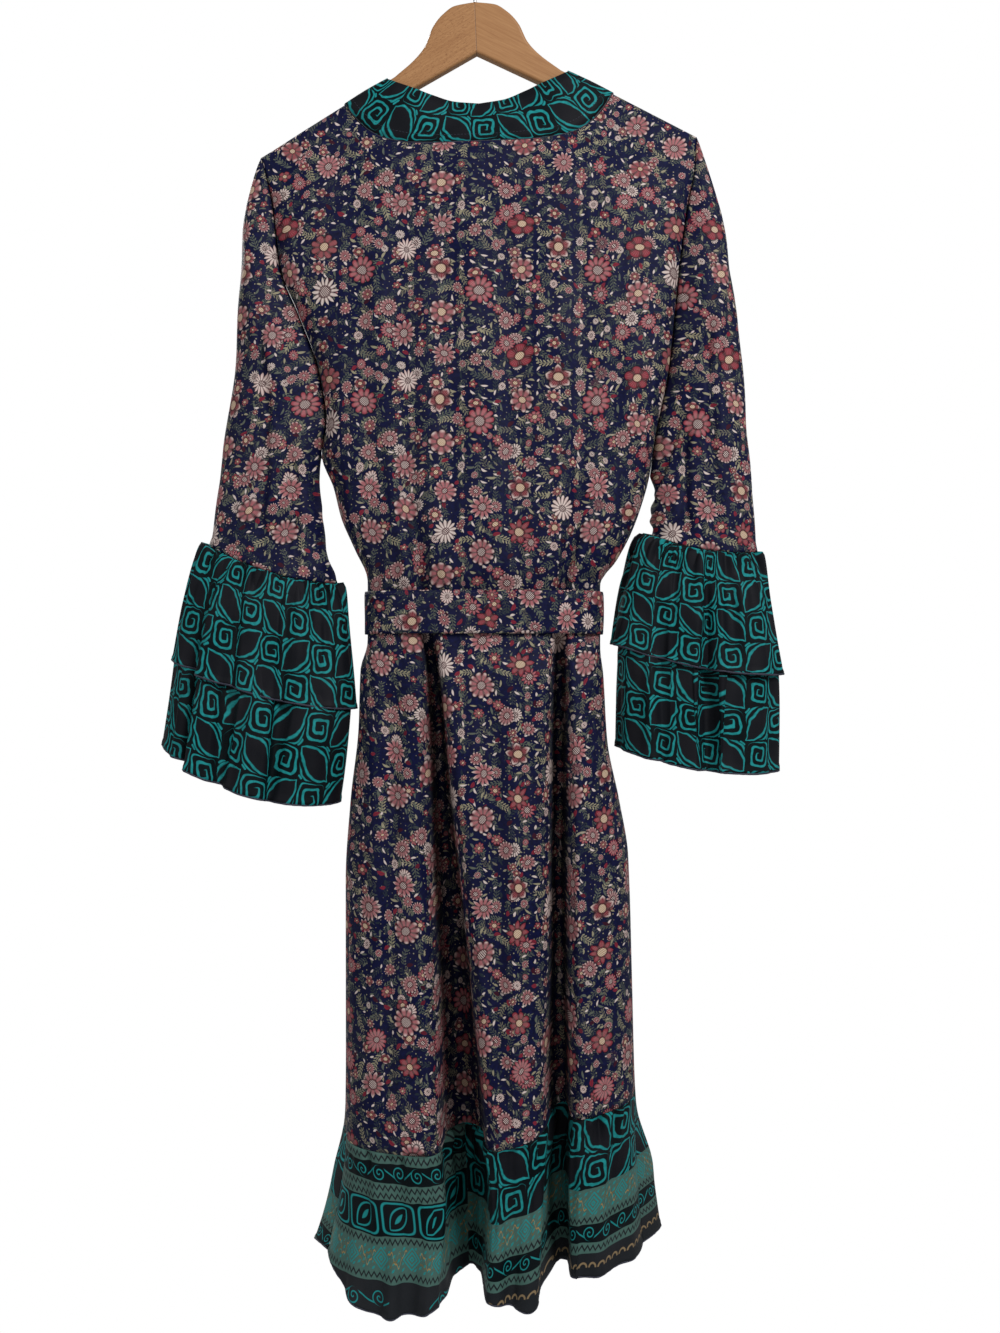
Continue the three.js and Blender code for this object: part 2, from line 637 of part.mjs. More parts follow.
const hemWave = (share, down) =>
  down * HEM_WAVE_DEPTH * Math.sin(Math.PI * share) ** 0.5 * wave(share, HEM_WAVES, 0.8);
function hemBack() {
  const rows = RUFFLE_ROWS.map((down) =>
    pushOut(backRow(hemLine(down, 1), HEM_COLUMNS), (share) => hemWave(share, down), 1),
  );
  return clothWall(rows, { facing: 1, square: ["z", null] });
}
function hemFront(side) {
  const rows = RUFFLE_ROWS.map((down) =>
    pushOut(
      frontRow(side, hemLine(down, -1), HEM_FRONT_COLUMNS, BAND_WIDTH),
      (share) => hemWave(share, down),
      -1,
    ),
  );
  return clothWall(rows, { facing: -1, square: ["z", null] });
}

// The neck band: its sewn edge and its free edge, from the left hem over the neck to the right hem
function bandPair(sewn, free) {
  const middle = sewn.clone().lerp(free, 0.5);
  return [sewn, middle, free];
}
function bandBack(row, side) {
  const sewn = fromHanger(side * row.sewn, 0, neckFall(row.sewn));
  sewn.y = bodyDepth(1, sewn.x, sewn.z, false);
  sewn.z += BAND_LIFT + (row.lift ?? 0);
  return bandPair(sewn, fromHanger(side * row.u, row.y, row.w));
}
function bandFront(row, side) {
  const top = topOfCloth(frontEdge(side, FRONT_EDGE[0].z), -1);
  const z = top - row.drop;
  const x = frontEdge(side, z) - side * BAND_LIFT;
  const lap = side > 0 ? LAP : 0;
  const at = (t) => {
    const px = x - side * (row.wide - BAND_LIFT) * t;
    const pz = Math.max(z + row.rise * (1 + side * BAND_SKEW) * t, seamAt(px, -1) + SEAM);
    return point(px, frontY(px, pz, lap, false), pz + (row.lift ?? 0));
  };
  return [at(0), at(0.5), at(1)];
}
function neckBand() {
  const down = (side) => BAND_FRONT.map((row) => bandFront(row, side));
  const round = (side) => BAND.slice(1).map((row) => bandBack(row, side));
  const stations = [
    ...down(1).reverse(),
    ...round(1).reverse(),
    bandBack(BAND[0], 1),
    ...round(-1),
    ...down(-1),
  ];
  const rows = [0, 1, 2].map((k) => stations.map((station) => station[k]));
  return clothWall(rows, { thick: DOUBLE_WALL, facing: 1 });
}

// The belt, a ring round the waist outside everything, its knot and its two hanging ends
function beltPoint(turn, z) {
  const left = edge(1, z, "x") + BELT.off;
  const right = edge(-1, z, "x") - BELT.off;
  const share = Math.cos(turn);
  const back = Math.sin(turn) >= 0;
  const depth = read(DEPTH, "z", z, back ? "back" : "front") + BELT.off;
  const round = Math.max(0, 1 - Math.abs(share) ** ROUND) ** (1 / ROUND);
  const x = (left + right) / 2 + (share * (left - right)) / 2;
  const lap = LAP * smooth((left + BELT.ease - x) / 40) * smooth((x - right) / 50);
  return point(x, back ? depth * round : -(depth * round + lap), z);
}
function belt() {
  const rows = [BELT.top, (BELT.top + BELT.bottom) / 2, BELT.bottom].map((z) =>
    Array.from({ length: BELT.columns }, (_, c) => beltPoint((2 * Math.PI * c) / BELT.columns, z)),
  );
  return clothWall(rows, { thick: DOUBLE_WALL, facing: -1, ring: true });
}
function beltKnot() {
  const { wide, tall, thick, round, edge: bevel } = KNOT;
  const shape = new THREE.Shape();
  const [w, h] = [wide / 2, tall / 2];
  shape.moveTo(-w + round, -h);
  shape.lineTo(w - round, -h).quadraticCurveTo(w, -h, w, -h + round);
  shape.lineTo(w, h - round).quadraticCurveTo(w, h, w - round, h);
  shape.lineTo(-w + round, h).quadraticCurveTo(-w, h, -w, h - round);
  shape.lineTo(-w, -h + round).quadraticCurveTo(-w, -h, -w + round, -h);
  const geometry = new THREE.ExtrudeGeometry(shape, {
    depth: thick - 2 * bevel,
    bevelSize: bevel,
    bevelThickness: bevel,
    bevelOffset: -bevel,
    bevelSegments: 2,
    curveSegments: 3,
  });
  const front = -beltPoint(-Math.PI / 2, KNOT.z).y + SEAM;
  return geometry.rotateX(Math.PI / 2).translate(KNOT.x, -front - bevel, KNOT.z);
}
function beltTail(tail) {
  const start = KNOT.z - KNOT.tall / 2 - SEAM;
  const rows = Array.from({ length: TAIL_STEPS + 1 }, (_, r) => {
    const t = r / TAIL_STEPS;
    const z = mix(start, tail.end, t);
    const x = mix(tail.x0, tail.x1, t);
    const sides = [-0.5, 0, 0.5].map((k) => x + k * TAIL_WIDTH * mix(0.6, 1, smooth(t / 0.3)));
    const out = Math.min(...sides.map((px) => frontY(px, z, LAP, false)));
    const y = Math.min(out - DOUBLE_WALL - SEAM, BELT_FRONT);
    return sides.map((px) => point(px, y, z));
  });
  return clothWall(rows, { thick: DOUBLE_WALL, facing: -1 });
}

// A ring of a sleeve or cuff between its outer and inner line. Its points lie at shares of that line,
// down the back and up the front.
function tubeRing(outer, inner, depth, shares, { swell = () => 0, sag = 0, bow = 0 } = {}) {
  const wide = Math.hypot(outer.x - inner.x, outer.z - inner.z);
  return shares.map(({ share, face, turn }) => {
    const lean = 1 - 2 * share;
    const side = face * Math.sqrt(Math.max(0, 1 - lean ** 2)) ** TUBE_SHAPE;
    const out = swell(turn, share, face);
    const bowed = bow * Math.sin(Math.PI * share);
    const x = mix(outer.x, inner.x, share) + (lean * out * (outer.x - inner.x)) / wide + bowed;
    const z = mix(outer.z, inner.z, share) - sag * side * Math.abs(side);
    return point(x, side * (depth + out), z);
  });
}
const roundShares = (list) => [
  ...list.map((share) => ({ share, face: 1, turn: Math.acos(1 - 2 * share) / (2 * Math.PI) })),
  ...list
    .slice(1, -1)
    .reverse()
    .map((share) => ({ share, face: -1, turn: 1 - Math.acos(1 - 2 * share) / (2 * Math.PI) })),
];
const evenShares = (columns) =>
  roundShares(
    Array.from({ length: columns / 2 + 1 }, (_, c) => (1 - Math.cos((2 * Math.PI * c) / columns)) / 2),
  );
const trough = (at, wide, share, back) =>
  back && Math.abs(share - at) < wide / 2 ? Math.cos((Math.PI * (share - at)) / wide) ** 2 : 0;

function sleeveRow(side, down) {
  const shape = side > 0 ? SLEEVE.left : SLEEVE.right;
  const shares = roundShares(UPPER_ROWS);
  const ring = tubeRing(alongLine(shape.outer, down), alongLine(shape.inner, down), shape.depth, shares, {
    swell: (turn, share, face) =>
      -shape.folds.reduce(
        (sum, f) =>
          sum +
          f.depth *
            trough(f.at, f.wide, share, face > 0) *
            smooth((down - f.from) / 0.15) *
            smooth((f.to + 0.15 - down) / 0.15),
        0,
      ),
    sag: SLEEVE_SAG * down,
    bow: side * SLEEVE_BOW * (1 - down) ** 2,
  });
  const seamed = smooth(down / SLEEVE_SEAM_EASE);
  return ring.map((p, c) => {
    const { share, face } = shares[c];
    const { x, z } = placeOn(upperLine(share, face), side);
    const y = face * (share === 0 || share === 1 ? 0 : bodyDepth(face, x, z));
    return point(x + side * SLEEVE_GAP, y, z).lerp(p, seamed);
  });
}
function sleeve(side) {
  const rows = SLEEVE_ROWS.map((down) => sleeveRow(side, down));
  return clothWall(rows, { facing: side > 0 ? -1 : 1, ring: true, square: ["x", "z"] });
}

// A ring moved in along its level normals
function insetRing(ring, side, amount) {
  return ring.map((p, i) => {
    const ahead = ring[(i + 1) % ring.length];
    const behind = ring[(i + ring.length - 1) % ring.length];
    const inward = point(behind.y - ahead.y, ahead.x - behind.x, 0).normalize();
    return p.clone().addScaledVector(inward, side * amount);
  });
}

// One tier of a cuff. Both tiers start at the sleeve's end, the lower one inside the upper.
function cuffRow(side, tier, share) {
  const sleeveShape = side > 0 ? SLEEVE.left : SLEEVE.right;
  const shape = side > 0 ? CUFF.left : CUFF.right;
  const start = {
    outer: sleeveShape.outer[sleeveShape.outer.length - 1],
    inner: sleeveShape.inner[sleeveShape.inner.length - 1],
    depth: sleeveShape.depth,
  };
  const goal = shape[tier];
  const { upper } = shape;
  const lower = tier === "lower";
  const low = lower ? (goal.outer.z - start.outer.z) / (upper.outer.z - start.outer.z) : 1;
  const level = share * low; // 1 at the foot of the upper tier
  const spread = { outer: clamp01(level) ** 0.6, inner: clamp01(level) ** 0.35 };
  const past = lower ? clamp01((level - 1) / (low - 1)) : 0;
  const place = (name) => ({
    x: mix(mix(start[name].x, upper[name].x, spread[name]), goal[name].x, past),
    z: mix(start[name].z, goal[name].z, share) - SEAM,
  });
  const depth = mix(mix(start.depth, upper.depth, spread.outer), goal.depth, past);
  const ring = tubeRing(place("outer"), place("inner"), depth, evenShares(CUFF_COLUMNS), {
    swell: (turn, at, face) => {
      const flat = Math.sin(2 * Math.PI * turn) ** 2; // no gathers where the cuff is folded flat
      const gathers = CUFF_WAVE_DEPTH * flat * wave(turn, CUFF_WAVES, shape.phase);
      const folds = shape.folds.reduce((sum, f) => sum + f.depth * trough(f.at, f.wide, at, face > 0), 0);
      return clamp01(level) * (gathers - folds);
    },
    sag: mix(mix(SLEEVE_SAG, upper.sag, clamp01(level)), goal.sag, past),
  });
  const inset = WALL + mix(SEAM, TIER_GAP, smooth(level / TIER_EASE));
  return lower ? insetRing(ring, side, inset * (1 - past)) : ring;
}
function cuffTier(side, tier) {
  const rows = CUFF_ROWS.map((share) => cuffRow(side, tier, share));
  return clothWall(rows, { facing: side > 0 ? -1 : 1, ring: true, square: ["z", null] });
}

// The hanger's arched outline, with a blind hole in its crown for the hook's wire
const wasm = await Module();
wasm.setup();
function toSolid(geometry) {
  const plain = geometry.clone();
  plain.deleteAttribute("normal");
  plain.deleteAttribute("uv");
  const merged = mergeVertices(plain);
  const vertProperties = new Float32Array(merged.attributes.position.array);
  return new wasm.Manifold(
    new wasm.Mesh({ numProp: 3, vertProperties, triVerts: new Uint32Array(merged.index.array) }),
  );
}
function fromSolid(solid) {
  const mesh = solid.getMesh();
  const geometry = new THREE.BufferGeometry();
  geometry.setAttribute("position", new THREE.BufferAttribute(mesh.vertProperties, 3));
  geometry.setIndex(new THREE.BufferAttribute(mesh.triVerts, 1));
  return geometry;
}
function hanger() {
  const under = (u) => HANGER_NOTCH - HANGER_UNDER_SLOPE * Math.abs(u);
  const half = [
    { u: 0, w: HANGER_CROWN },
    ...HANGER_SIDE,
    HANGER_SHOULDER,
    { u: HANGER_HALF - HANGER_TIP, w: armTop(HANGER_HALF - HANGER_TIP) },
  ];
  const shape = new THREE.Shape();
  shape.moveTo(0, HANGER_NOTCH);
  shape.lineTo(HANGER_HALF - HANGER_TIP, under(HANGER_HALF - HANGER_TIP));
  const tip = { u: HANGER_HALF, w: (under(HANGER_HALF) + armTop(HANGER_HALF)) / 2 };
  const last = half[half.length - 1];
  shape.quadraticCurveTo(HANGER_HALF, under(HANGER_HALF), tip.u, tip.w);
  shape.quadraticCurveTo(HANGER_HALF, armTop(HANGER_HALF), last.u, last.w);
  const inner = half.slice(1, -1);
  const crown = [...inner.toReversed(), half[0], ...inner.map((p) => ({ u: -p.u, w: p.w }))];
  shape.splineThru(crown.map((p) => new THREE.Vector2(p.u, p.w)));
  shape.lineTo(-last.u, last.w);
  shape.quadraticCurveTo(-HANGER_HALF, armTop(HANGER_HALF), -tip.u, tip.w);
  shape.quadraticCurveTo(-HANGER_HALF, under(HANGER_HALF), -last.u, under(last.u));
  shape.lineTo(0, HANGER_NOTCH);
  const geometry = new THREE.ExtrudeGeometry(shape, {
    depth: HANGER_THICK - 2 * HANGER_EDGE,
    bevelSize: HANGER_EDGE,
    bevelThickness: HANGER_EDGE,
    bevelOffset: -HANGER_EDGE,
    bevelSegments: 2,
    curveSegments: 3,
  });
  geometry.translate(0, 0, HANGER_EDGE - HANGER_THICK / 2).rotateX(Math.PI / 2);
  const length = HANGER_CROWN - HOOK_HOLE.foot + HOOK_HOLE.past;
  const drill = new THREE.CylinderGeometry(HOOK_HOLE.wide / 2, HOOK_HOLE.wide / 2, length, HOOK_HOLE.sides);
  drill.rotateX(Math.PI / 2).translate(0, 0, HOOK_HOLE.foot + length / 2);
  return fromSolid(toSolid(geometry).subtract(toSolid(drill))).rotateY(TILT);
}
function hook() {
  const turn = HOOK_INSIDE + HOOK_WIRE / 2;
  const bend = Array.from({ length: HOOK_ARC.points }, (_, i) => {
    const angle = THREE.MathUtils.degToRad(mix(HOOK_ARC.from, HOOK_ARC.to, i / (HOOK_ARC.points - 1)));
    return point(turn * Math.cos(angle), 0, turn * Math.sin(angle) - HOOK_INSIDE);
  });
  const path = new THREE.CatmullRomCurve3([
    point(0, 0, HOOK_HOLE.wireFoot),
    point(0, 0, (HOOK_HOLE.wireFoot + HOOK_STEM) / 2),
    point(0, 0, HOOK_STEM),
    ...bend,
  ]);
  const section = new THREE.Shape();
  section.absarc(0, 0, HOOK_WIRE / 2, 0, 2 * Math.PI);
  const geometry = new THREE.ExtrudeGeometry(section, {
    steps: HOOK_STEPS,
    extrudePath: path,
    curveSegments: HOOK_SIDES / 2,
  });
  return geometry.rotateY(TILT);
}

// The skirt and its ruffle spread more at the front than at the back, which hangs nearer the middle
function spreadFront(geometry) {
  const place = geometry.attributes.position;
  for (let i = 0; i < place.count; i += 1) {
    const [x, y, z] = [place.getX(i), place.getY(i), place.getZ(i)];
    const share = read(SPREAD, "z", z, y < 0 ? "front" : "back");
    place.setX(i, x * (1 - (share * y) / SPREAD_DEPTH));
  }
  return geometry;
}

const robe = new THREE.Group();
function add(name, geometry, material) {
  geometry.deleteAttribute("uv");
  geometry.deleteAttribute("normal");
  const merged = mergeVertices(spreadFront(geometry));
  merged.computeVertexNormals();
  const mesh = new THREE.Mesh(merged, new THREE.MeshStandardMaterial(MATERIALS[material]));
  mesh.name = name;
  robe.add(mesh);
}

add("hanger", hanger(), "wood");
add("hook", hook(), "steel");
add("back", backPanel(), "floral");
add("neck_band", neckBand(), "teal_print");
add("hem_ruffle_back", hemBack(), "teal_print");
for (const side of [1, -1]) {
  const name = side > 0 ? "left" : "right";
  add(`front_${name}`, frontPanel(side), "floral");
  add(`hem_ruffle_${name}`, hemFront(side), "teal_print");
  add(`sleeve_${name}`, sleeve(side), "floral");
  add(`cuff_upper_${name}`, cuffTier(side, "upper"), "teal_print");
  add(`cuff_lower_${name}`, cuffTier(side, "lower"), "teal_print");
}
add("belt", belt(), "floral");
add("belt_knot", beltKnot(), "floral");
for (const tail of TAILS) add(tail.name, beltTail(tail), "floral");

export default robe;
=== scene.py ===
# The looks of a long kimono robe with ruffled cuffs and hem, belted, on a wooden hanger.
# The robe's front faces -Y and +X is the wearer's left. Shapes are worked out in millimetres.
import math
from functools import partialmethod

import bpy
import numpy as np
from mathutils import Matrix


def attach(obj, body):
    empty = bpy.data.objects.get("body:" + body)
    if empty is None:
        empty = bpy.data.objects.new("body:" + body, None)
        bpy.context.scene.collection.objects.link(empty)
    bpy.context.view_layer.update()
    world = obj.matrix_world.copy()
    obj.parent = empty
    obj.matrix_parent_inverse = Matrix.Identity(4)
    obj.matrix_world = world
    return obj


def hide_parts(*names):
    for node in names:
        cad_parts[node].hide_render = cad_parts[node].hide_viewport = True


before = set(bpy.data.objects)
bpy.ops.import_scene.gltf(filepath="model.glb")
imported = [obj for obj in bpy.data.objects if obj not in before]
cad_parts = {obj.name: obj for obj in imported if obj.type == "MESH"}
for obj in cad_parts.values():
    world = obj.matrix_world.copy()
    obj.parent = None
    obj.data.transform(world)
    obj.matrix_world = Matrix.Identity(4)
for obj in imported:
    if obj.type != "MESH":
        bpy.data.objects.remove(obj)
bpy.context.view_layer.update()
MM = 0.001
SIDE_NAME = {1: "left", -1: "right"}


def columns(names, *rows):
    """A short table as one array for each named column."""
    return {name: np.array([row[k] for row in rows], float) for k, name in enumerate(names.split())}


# Cloth and seams
THIN = 0.8  # one layer of cloth
DOUBLE = 1.8  # the folded neck band and the belt
SEAM = 0.3
ROLL = 0.7  # how much thicker a rolled hem is on each face
LAP = 5  # how far the left front lies outside the right one
ROUND = 2.6

# Hanger, in its own frame, turned about the hook by TILT
TILT = math.radians(2.4)
HANGER_THICK = 12
HANGER_CROWN = -64.5
HANGER_HALF = 203
HANGER_NOTCH = -115.6
UNDER_SLOPE = 0.52
ARM_SLOPE = 0.57
SHOULDER_U, SHOULDER_W = 83, -136
HANGER_SIDE = columns(
    "u w",
    (0, HANGER_CROWN), (20, -67.5), (33, -76), (43, -88), (51, -106), (62, -119), (83, -136),
)
HANGER_TIP, HANGER_BEVEL = 8, 3
HOOK_RADIUS = 1.8
HOOK_INSIDE = 19
HOOK_FOOT, HOOK_STEM = -75.5, -50
HOOK_ARC = (-50, 205)  # degrees round the bend

# Shoulder, neck and band
RIDGE, RIDGE_SHAPE, RIDGE_GAP, WALL = 9.5, 3, 0.9, 1.5
NECK_U, NECK_W, NECK_DROP, NECK_SHAPE = 134, -162.7, 48, 5
SETTLE = 120
BAND = columns(
    "sewn u y w lift",
    (0, 0, 9, -168, 0), (34, 24, 11, -166, 0), (66, 46, 12.5, -159, 0), (92, 62, 12.5, -152, 0),
    (108, 73, 12, -147.5, 0.5), (119, 81, 11, -144, 1.5), (127, 86, 10, -141.5, 1.8),
    (131.5, 89, 8.8, -140, 2), (133.4, 90, 6, -137.6, 1.3), (134, 90, 0, -136.5, 0.4),
)
BAND_FRONT = columns(
    "drop wide rise lift",
    (0.9, 43, 25.8, 0.8), (3, 43, 25.6, 0.8), (12, 43, 24.5, 0.4), (40, 46, 20, 0), (90, 50, 9, 0),
    (150, 50, 0, 0), (1100, 50, 0, 0),
)
BAND_WIDTH = 50
BAND_SKEW = 0.072
BAND_LIFT = 0.75

LEFT_EDGE = columns(
    "z x deep",
    (-216, 210, 10), (-264, 199, 12), (-333, 190, 11), (-375, 173, 10), (-434, 152, 9), (-484, 145, 8),
    (-516, 150, 0), (-549, 138, 0), (-580, 130, 0), (-610, 117, 0), (-642, 104, 0), (-702, 104, 0),
    (-730, 111, 0), (-788, 113, 0), (-860, 121, 0), (-940, 126, 0), (-1190, 126, 0), (-1345, 150, 0),
)
RIGHT_EDGE = columns(
    "z x deep",
    (-200, -223, 10), (-235, -221, 12), (-266, -215, 11), (-325, -207, 10), (-432, -196, 9),
    (-497, -183, 8), (-538, -177, 0), (-570, -168, 0), (-596, -158, 0), (-622, -144, 0), (-645, -128, 0),
    (-708, -128, 0), (-735, -131, 0), (-800, -135, 0), (-860, -147, 0), (-915, -156, 0), (-1045, -160, 0),
    (-1160, -162, 0), (-1330, -172, 0),
)
UNDERARM_LEFT, UNDERARM_RIGHT = -516, -538
SEAM_LINE = columns(
    "x back front",
    (-165, -1152, -1152), (-97, -1162, -1161.5), (-45, -1182, -1168.7), (10, -1190, -1176.4),
    (130, -1193, -1193),
)
HEM_LINE = columns(
    "x z",
    (-175, -1302), (-90, -1310), (-60, -1330), (0, -1318), (40, -1332), (90, -1342), (116, -1336),
    (136, -1318), (152, -1300),
)
DEPTH = columns(
    "z back front",
    (-150, 20, 16), (-260, 33, 28), (-400, 42, 36), (-516, 47, 42), (-600, 51, 48), (-636, 49, 48),
    (-648, 45, 45), (-708, 45, 45), (-735, 52, 52), (-900, 62, 68), (-1190, 72, 84), (-1345, 84, 98),
)
LEFT_FOLD = columns(
    "z x wide depth",
    (-230, 70, 60, 1), (-400, 68, 60, 5), (-560, 58, 40, 9), (-625, 50, 30, 13), (-655, 46, 22, 10),
    (-695, 42, 22, 12), (-780, 34, 36, 24), (-900, 27, 52, 34), (-1040, 16, 66, 44), (-1190, 7, 72, 48),
    (-1345, 2, 56, 40),
)
RIGHT_FOLD = columns(
    "z x wide depth",
    (-230, -105, 60, 1), (-400, -112, 50, 5), (-560, -105, 36, 9), (-625, -94, 26, 13),
    (-655, -88, 22, 10), (-695, -87, 22, 12), (-780, -87, 34, 24), (-900, -86, 40, 30),
    (-1040, -87, 46, 34), (-1190, -88, 50, 36), (-1345, -90, 40, 30),
)
LEFT_PLEAT = columns(
    "z wide depth",
    (-640, 8, 0), (-690, 10, 3), (-720, 13, 26), (-780, 17, 38), (-900, 23, 46), (-1040, 32, 50),
    (-1190, 40, 44), (-1345, 36, 28),
)
RIGHT_PLEAT = columns(
    "z wide depth",
    (-640, 7, 0), (-690, 8, 3), (-720, 10, 22), (-780, 12, 32), (-900, 14, 38), (-1040, 16, 42),
    (-1190, 19, 38), (-1345, 18, 26),
)
BACK_SOFT = columns(
    "x0 x1 top foot wide depth",
    (20, 14, -250, -650, 46, 4), (-40, -46, -300, -650, 44, 4), (112, 88, -290, -650, 40, 5),
    (-150, -118, -330, -640, 34, 4), (-20, -28, -690, -1190, 40, 7), (-58, -62, -690, -1190, 30, 5),
    (76, 84, -690, -1190, 34, 7),
)
FRONT_SOFT = columns(
    "x0 x1 top foot wide depth",
    (152, 84, -240, -650, 44, 6), (-168, -104, -240, -650, 44, 6), (74, 88, -690, -1190, 46, 12),
    (-88, -112, -690, -1190, 46, 12), (-52, -66, -690, -1190, 30, 6),
)
SPREAD_DEPTH = 70
SPREAD = columns(
    "z front back",
    (-720, 0, 0), (-1000, 0.05, 0.03), (-1165, 0.11, 0.05), (-1240, 0.29, 0.07), (-1345, 0.31, 0.09),
)
FRONT_EDGE = columns(
    "z left right",
    (-166, 127, -141), (-260, 108, -120), (-400, 70, -82), (-560, 22, -34), (-655, -8, -4),
    (-700, -16, 4), (-900, -20, 8), (-1200, -20, 8),
)

# Sleeves and cuffs
SLEEVE = {
    1: {
        "outer": columns(
            "x z",
            (210, -219), (217, -232), (224, -258), (229, -290), (231, -345), (233, -390), (240, -445),
            (250, -520), (262, -605),
        ),
        "inner": columns("x z", (150, -516), (153, -545), (149, -582), (144, -612), (137, -644)),
        "folds": columns("at top foot wide depth", (0.42, 0.12, 0.85, 0.2, 6), (0.74, 0.3, 0.85, 0.16, 5)),
    },
    -1: {
        "outer": columns(
            "x z",
            (-223, -200), (-232, -212), (-240, -235), (-247, -262), (-256, -310), (-266, -400),
            (-274, -480), (-281, -565), (-285, -612),
        ),
        "inner": columns("x z", (-177, -538), (-181, -553), (-180, -575), (-179, -596)),
        "folds": columns("at top foot wide depth", (0.4, 0.15, 0.85, 0.18, 5), (0.7, 0.3, 0.85, 0.18, 6)),
    },
}
SLEEVE_DEPTH = 29
SLEEVE_SAG = 9
SLEEVE_BOW = 13
SLEEVE_GAP = 0.6
SLEEVE_EASE = 0.2
TUBE_SHAPE = 0.85
CUFF = {
    1: {
        "upper": {"outer": (301, -718), "inner": (118, -768), "depth": 50, "sag": 10},
        "lower": {"outer": (309, -804), "inner": (134, -860), "depth": 54, "sag": 17},
        "folds": columns("at wide depth", (0.14, 0.14, 15), (0.36, 0.12, 9), (0.66, 0.12, 8)),
        "phase": 0.4,
    },
    -1: {
        "upper": {"outer": (-308, -734), "inner": (-141, -704), "depth": 50, "sag": 9},
        "lower": {"outer": (-302, -829), "inner": (-144, -806), "depth": 54, "sag": 9},
        "folds": columns("at wide depth", (0.46, 0.16, 20), (0.76, 0.12, 7)),
        "phase": 1.7,
    },
}
CUFF_WAVES, CUFF_WAVE_DEPTH = 8, 5
TIER_GAP, TIER_EASE = 3.5, 0.3
HEM_WAVES, HEM_WAVE_DEPTH = 9, 7

# Belt
BELT_TOP, BELT_FOOT, BELT_OFF, BELT_EASE = -653, -695, 2.8, 6
BELT_MIDDLE, BELT_WIDTH = (BELT_TOP + BELT_FOOT) / 2, BELT_TOP - BELT_FOOT
KNOT_X, KNOT_Z, KNOT_WIDE, KNOT_TALL, KNOT_THICK = -12, -675, 44, 36, 12
TAIL_WIDTH, TAIL_FRONT = 40, -57
TAILS = {"belt_tail_left": (9, 28, -1010), "belt_tail_right": (-34, -56, -975)}

# Rows and columns of the solids, which the cloth divides further
UPPER_ROWS = [0, 0.003, 0.014, 0.067, 0.146, 0.25, 0.37, 0.5, 0.63, 0.75, 0.854, 0.933, 0.983, 1]
LOWER_ROWS = [0, 0.06, 0.12, 0.16, 0.188, 0.275, 0.3, 0.37, 0.48, 0.61, 0.74, 0.87, 1]
NECK_SHARE_TOP, NECK_SHARE_LOW = 0.6195, 0.82
STRIP = 6.2
BACK_COUNTS = (22, 4, 26, 62, 34, 4, 25)
HEM_COUNTS = (27, 4, 45, 120, 66, 4, 33)


def mix(a, b, t):
    return a + (b - a) * t


def clamp01(t):
    return np.clip(t, 0, 1)


def smooth(t):
    t = clamp01(t)
    return t * t * (3 - 2 * t)


def unit(way):
    """Directions one long, from directions of any length."""
    return way / np.maximum(np.linalg.norm(way, axis=-1, keepdims=True), 1e-9)


def read(table, key, at, name):
    """A column at a place, on a smooth line through its rows that never overshoots."""
    xs, ys = table[key], table[name]
    if xs[1] < xs[0]:
        xs, ys = xs[::-1], ys[::-1]
    at = np.clip(at, xs[0], xs[-1])
    slope = np.diff(ys) / np.diff(xs)
    product = slope[:-1] * slope[1:]
    total = np.where(product > 0, slope[:-1] + slope[1:], 1)
    inner = np.where(product > 0, 2 * product / total, 0)
    tangent = np.concatenate([slope[:1], inner, slope[-1:]])
    i = np.clip(np.searchsorted(xs, at) - 1, 0, len(xs) - 2)
    wide = xs[i + 1] - xs[i]
    t = (at - xs[i]) / wide
    start = (1 + 2 * t) * (1 - t) ** 2 * ys[i] + t * (1 - t) ** 2 * wide * tangent[i]
    end = t * t * (3 - 2 * t) * ys[i + 1] + t * t * (t - 1) * wide * tangent[i + 1]
    return start + end


def along(line, share):
    """The point at a share of a line's length."""
    steps = np.hypot(np.diff(line["x"]), np.diff(line["z"]))
    length = np.concatenate([[0], np.cumsum(steps)])
    table = {"s": length / length[-1], "x": line["x"], "z": line["z"]}
    return read(table, "s", share, "x"), read(table, "s", share, "z")


def finer(shares, step):
    """A list of shares with each interval divided into steps of about the given size."""
    out = [shares[0]]
    for a, b in zip(shares, shares[1:]):
        count = max(1, round((b - a) / step))
        out += [a + (b - a) * k / count for k in range(1, count + 1)]
    return np.array(out)


def noise(u, v, seed):
    """Smooth uneven values from -1 to 1 over a plane, one knot to each unit."""
    knots = np.random.default_rng(seed).uniform(-1, 1, (61, 61))
    iu, iv = np.floor(u).astype(int), np.floor(v).astype(int)
    tu, tv = smooth(u - iu), smooth(v - iv)
    pick = lambda a, b: knots[(iu + a) % 61, (iv + b) % 61]
    return mix(mix(pick(0, 0), pick(1, 0), tu), mix(pick(0, 1), pick(1, 1), tu), tv)


# The robe's form, from the hanger down
def from_hanger(u, w):
    return u * math.cos(TILT) + w * math.sin(TILT), -u * math.sin(TILT) + w * math.cos(TILT)


def arm_top(u):
    return SHOULDER_W - ARM_SLOPE * (np.abs(u) - SHOULDER_U)


def neck_fall(u):
    return NECK_W - NECK_DROP * (1 - np.minimum(1, np.abs(u) / NECK_U) ** NECK_SHAPE)


def ridge_line(u):
    return arm_top(np.maximum(np.abs(u), SHOULDER_U)) + (WALL + RIDGE_GAP) * math.hypot(1, ARM_SLOPE)


def height_at(x, line):
    u = x
    for _ in range(6):
        u = (x - line(u) * math.sin(TILT)) / math.cos(TILT)
    return from_hanger(u, line(u))[1]


def top_of_cloth(x, face):
    if face < 0:
        return height_at(x, ridge_line)
    return height_at(x, lambda u: np.where(np.abs(u) < NECK_U, neck_fall(u), ridge_line(u)))


def edge(side, z, name="x"):
    return read(LEFT_EDGE if side > 0 else RIGHT_EDGE, "z", z, name)


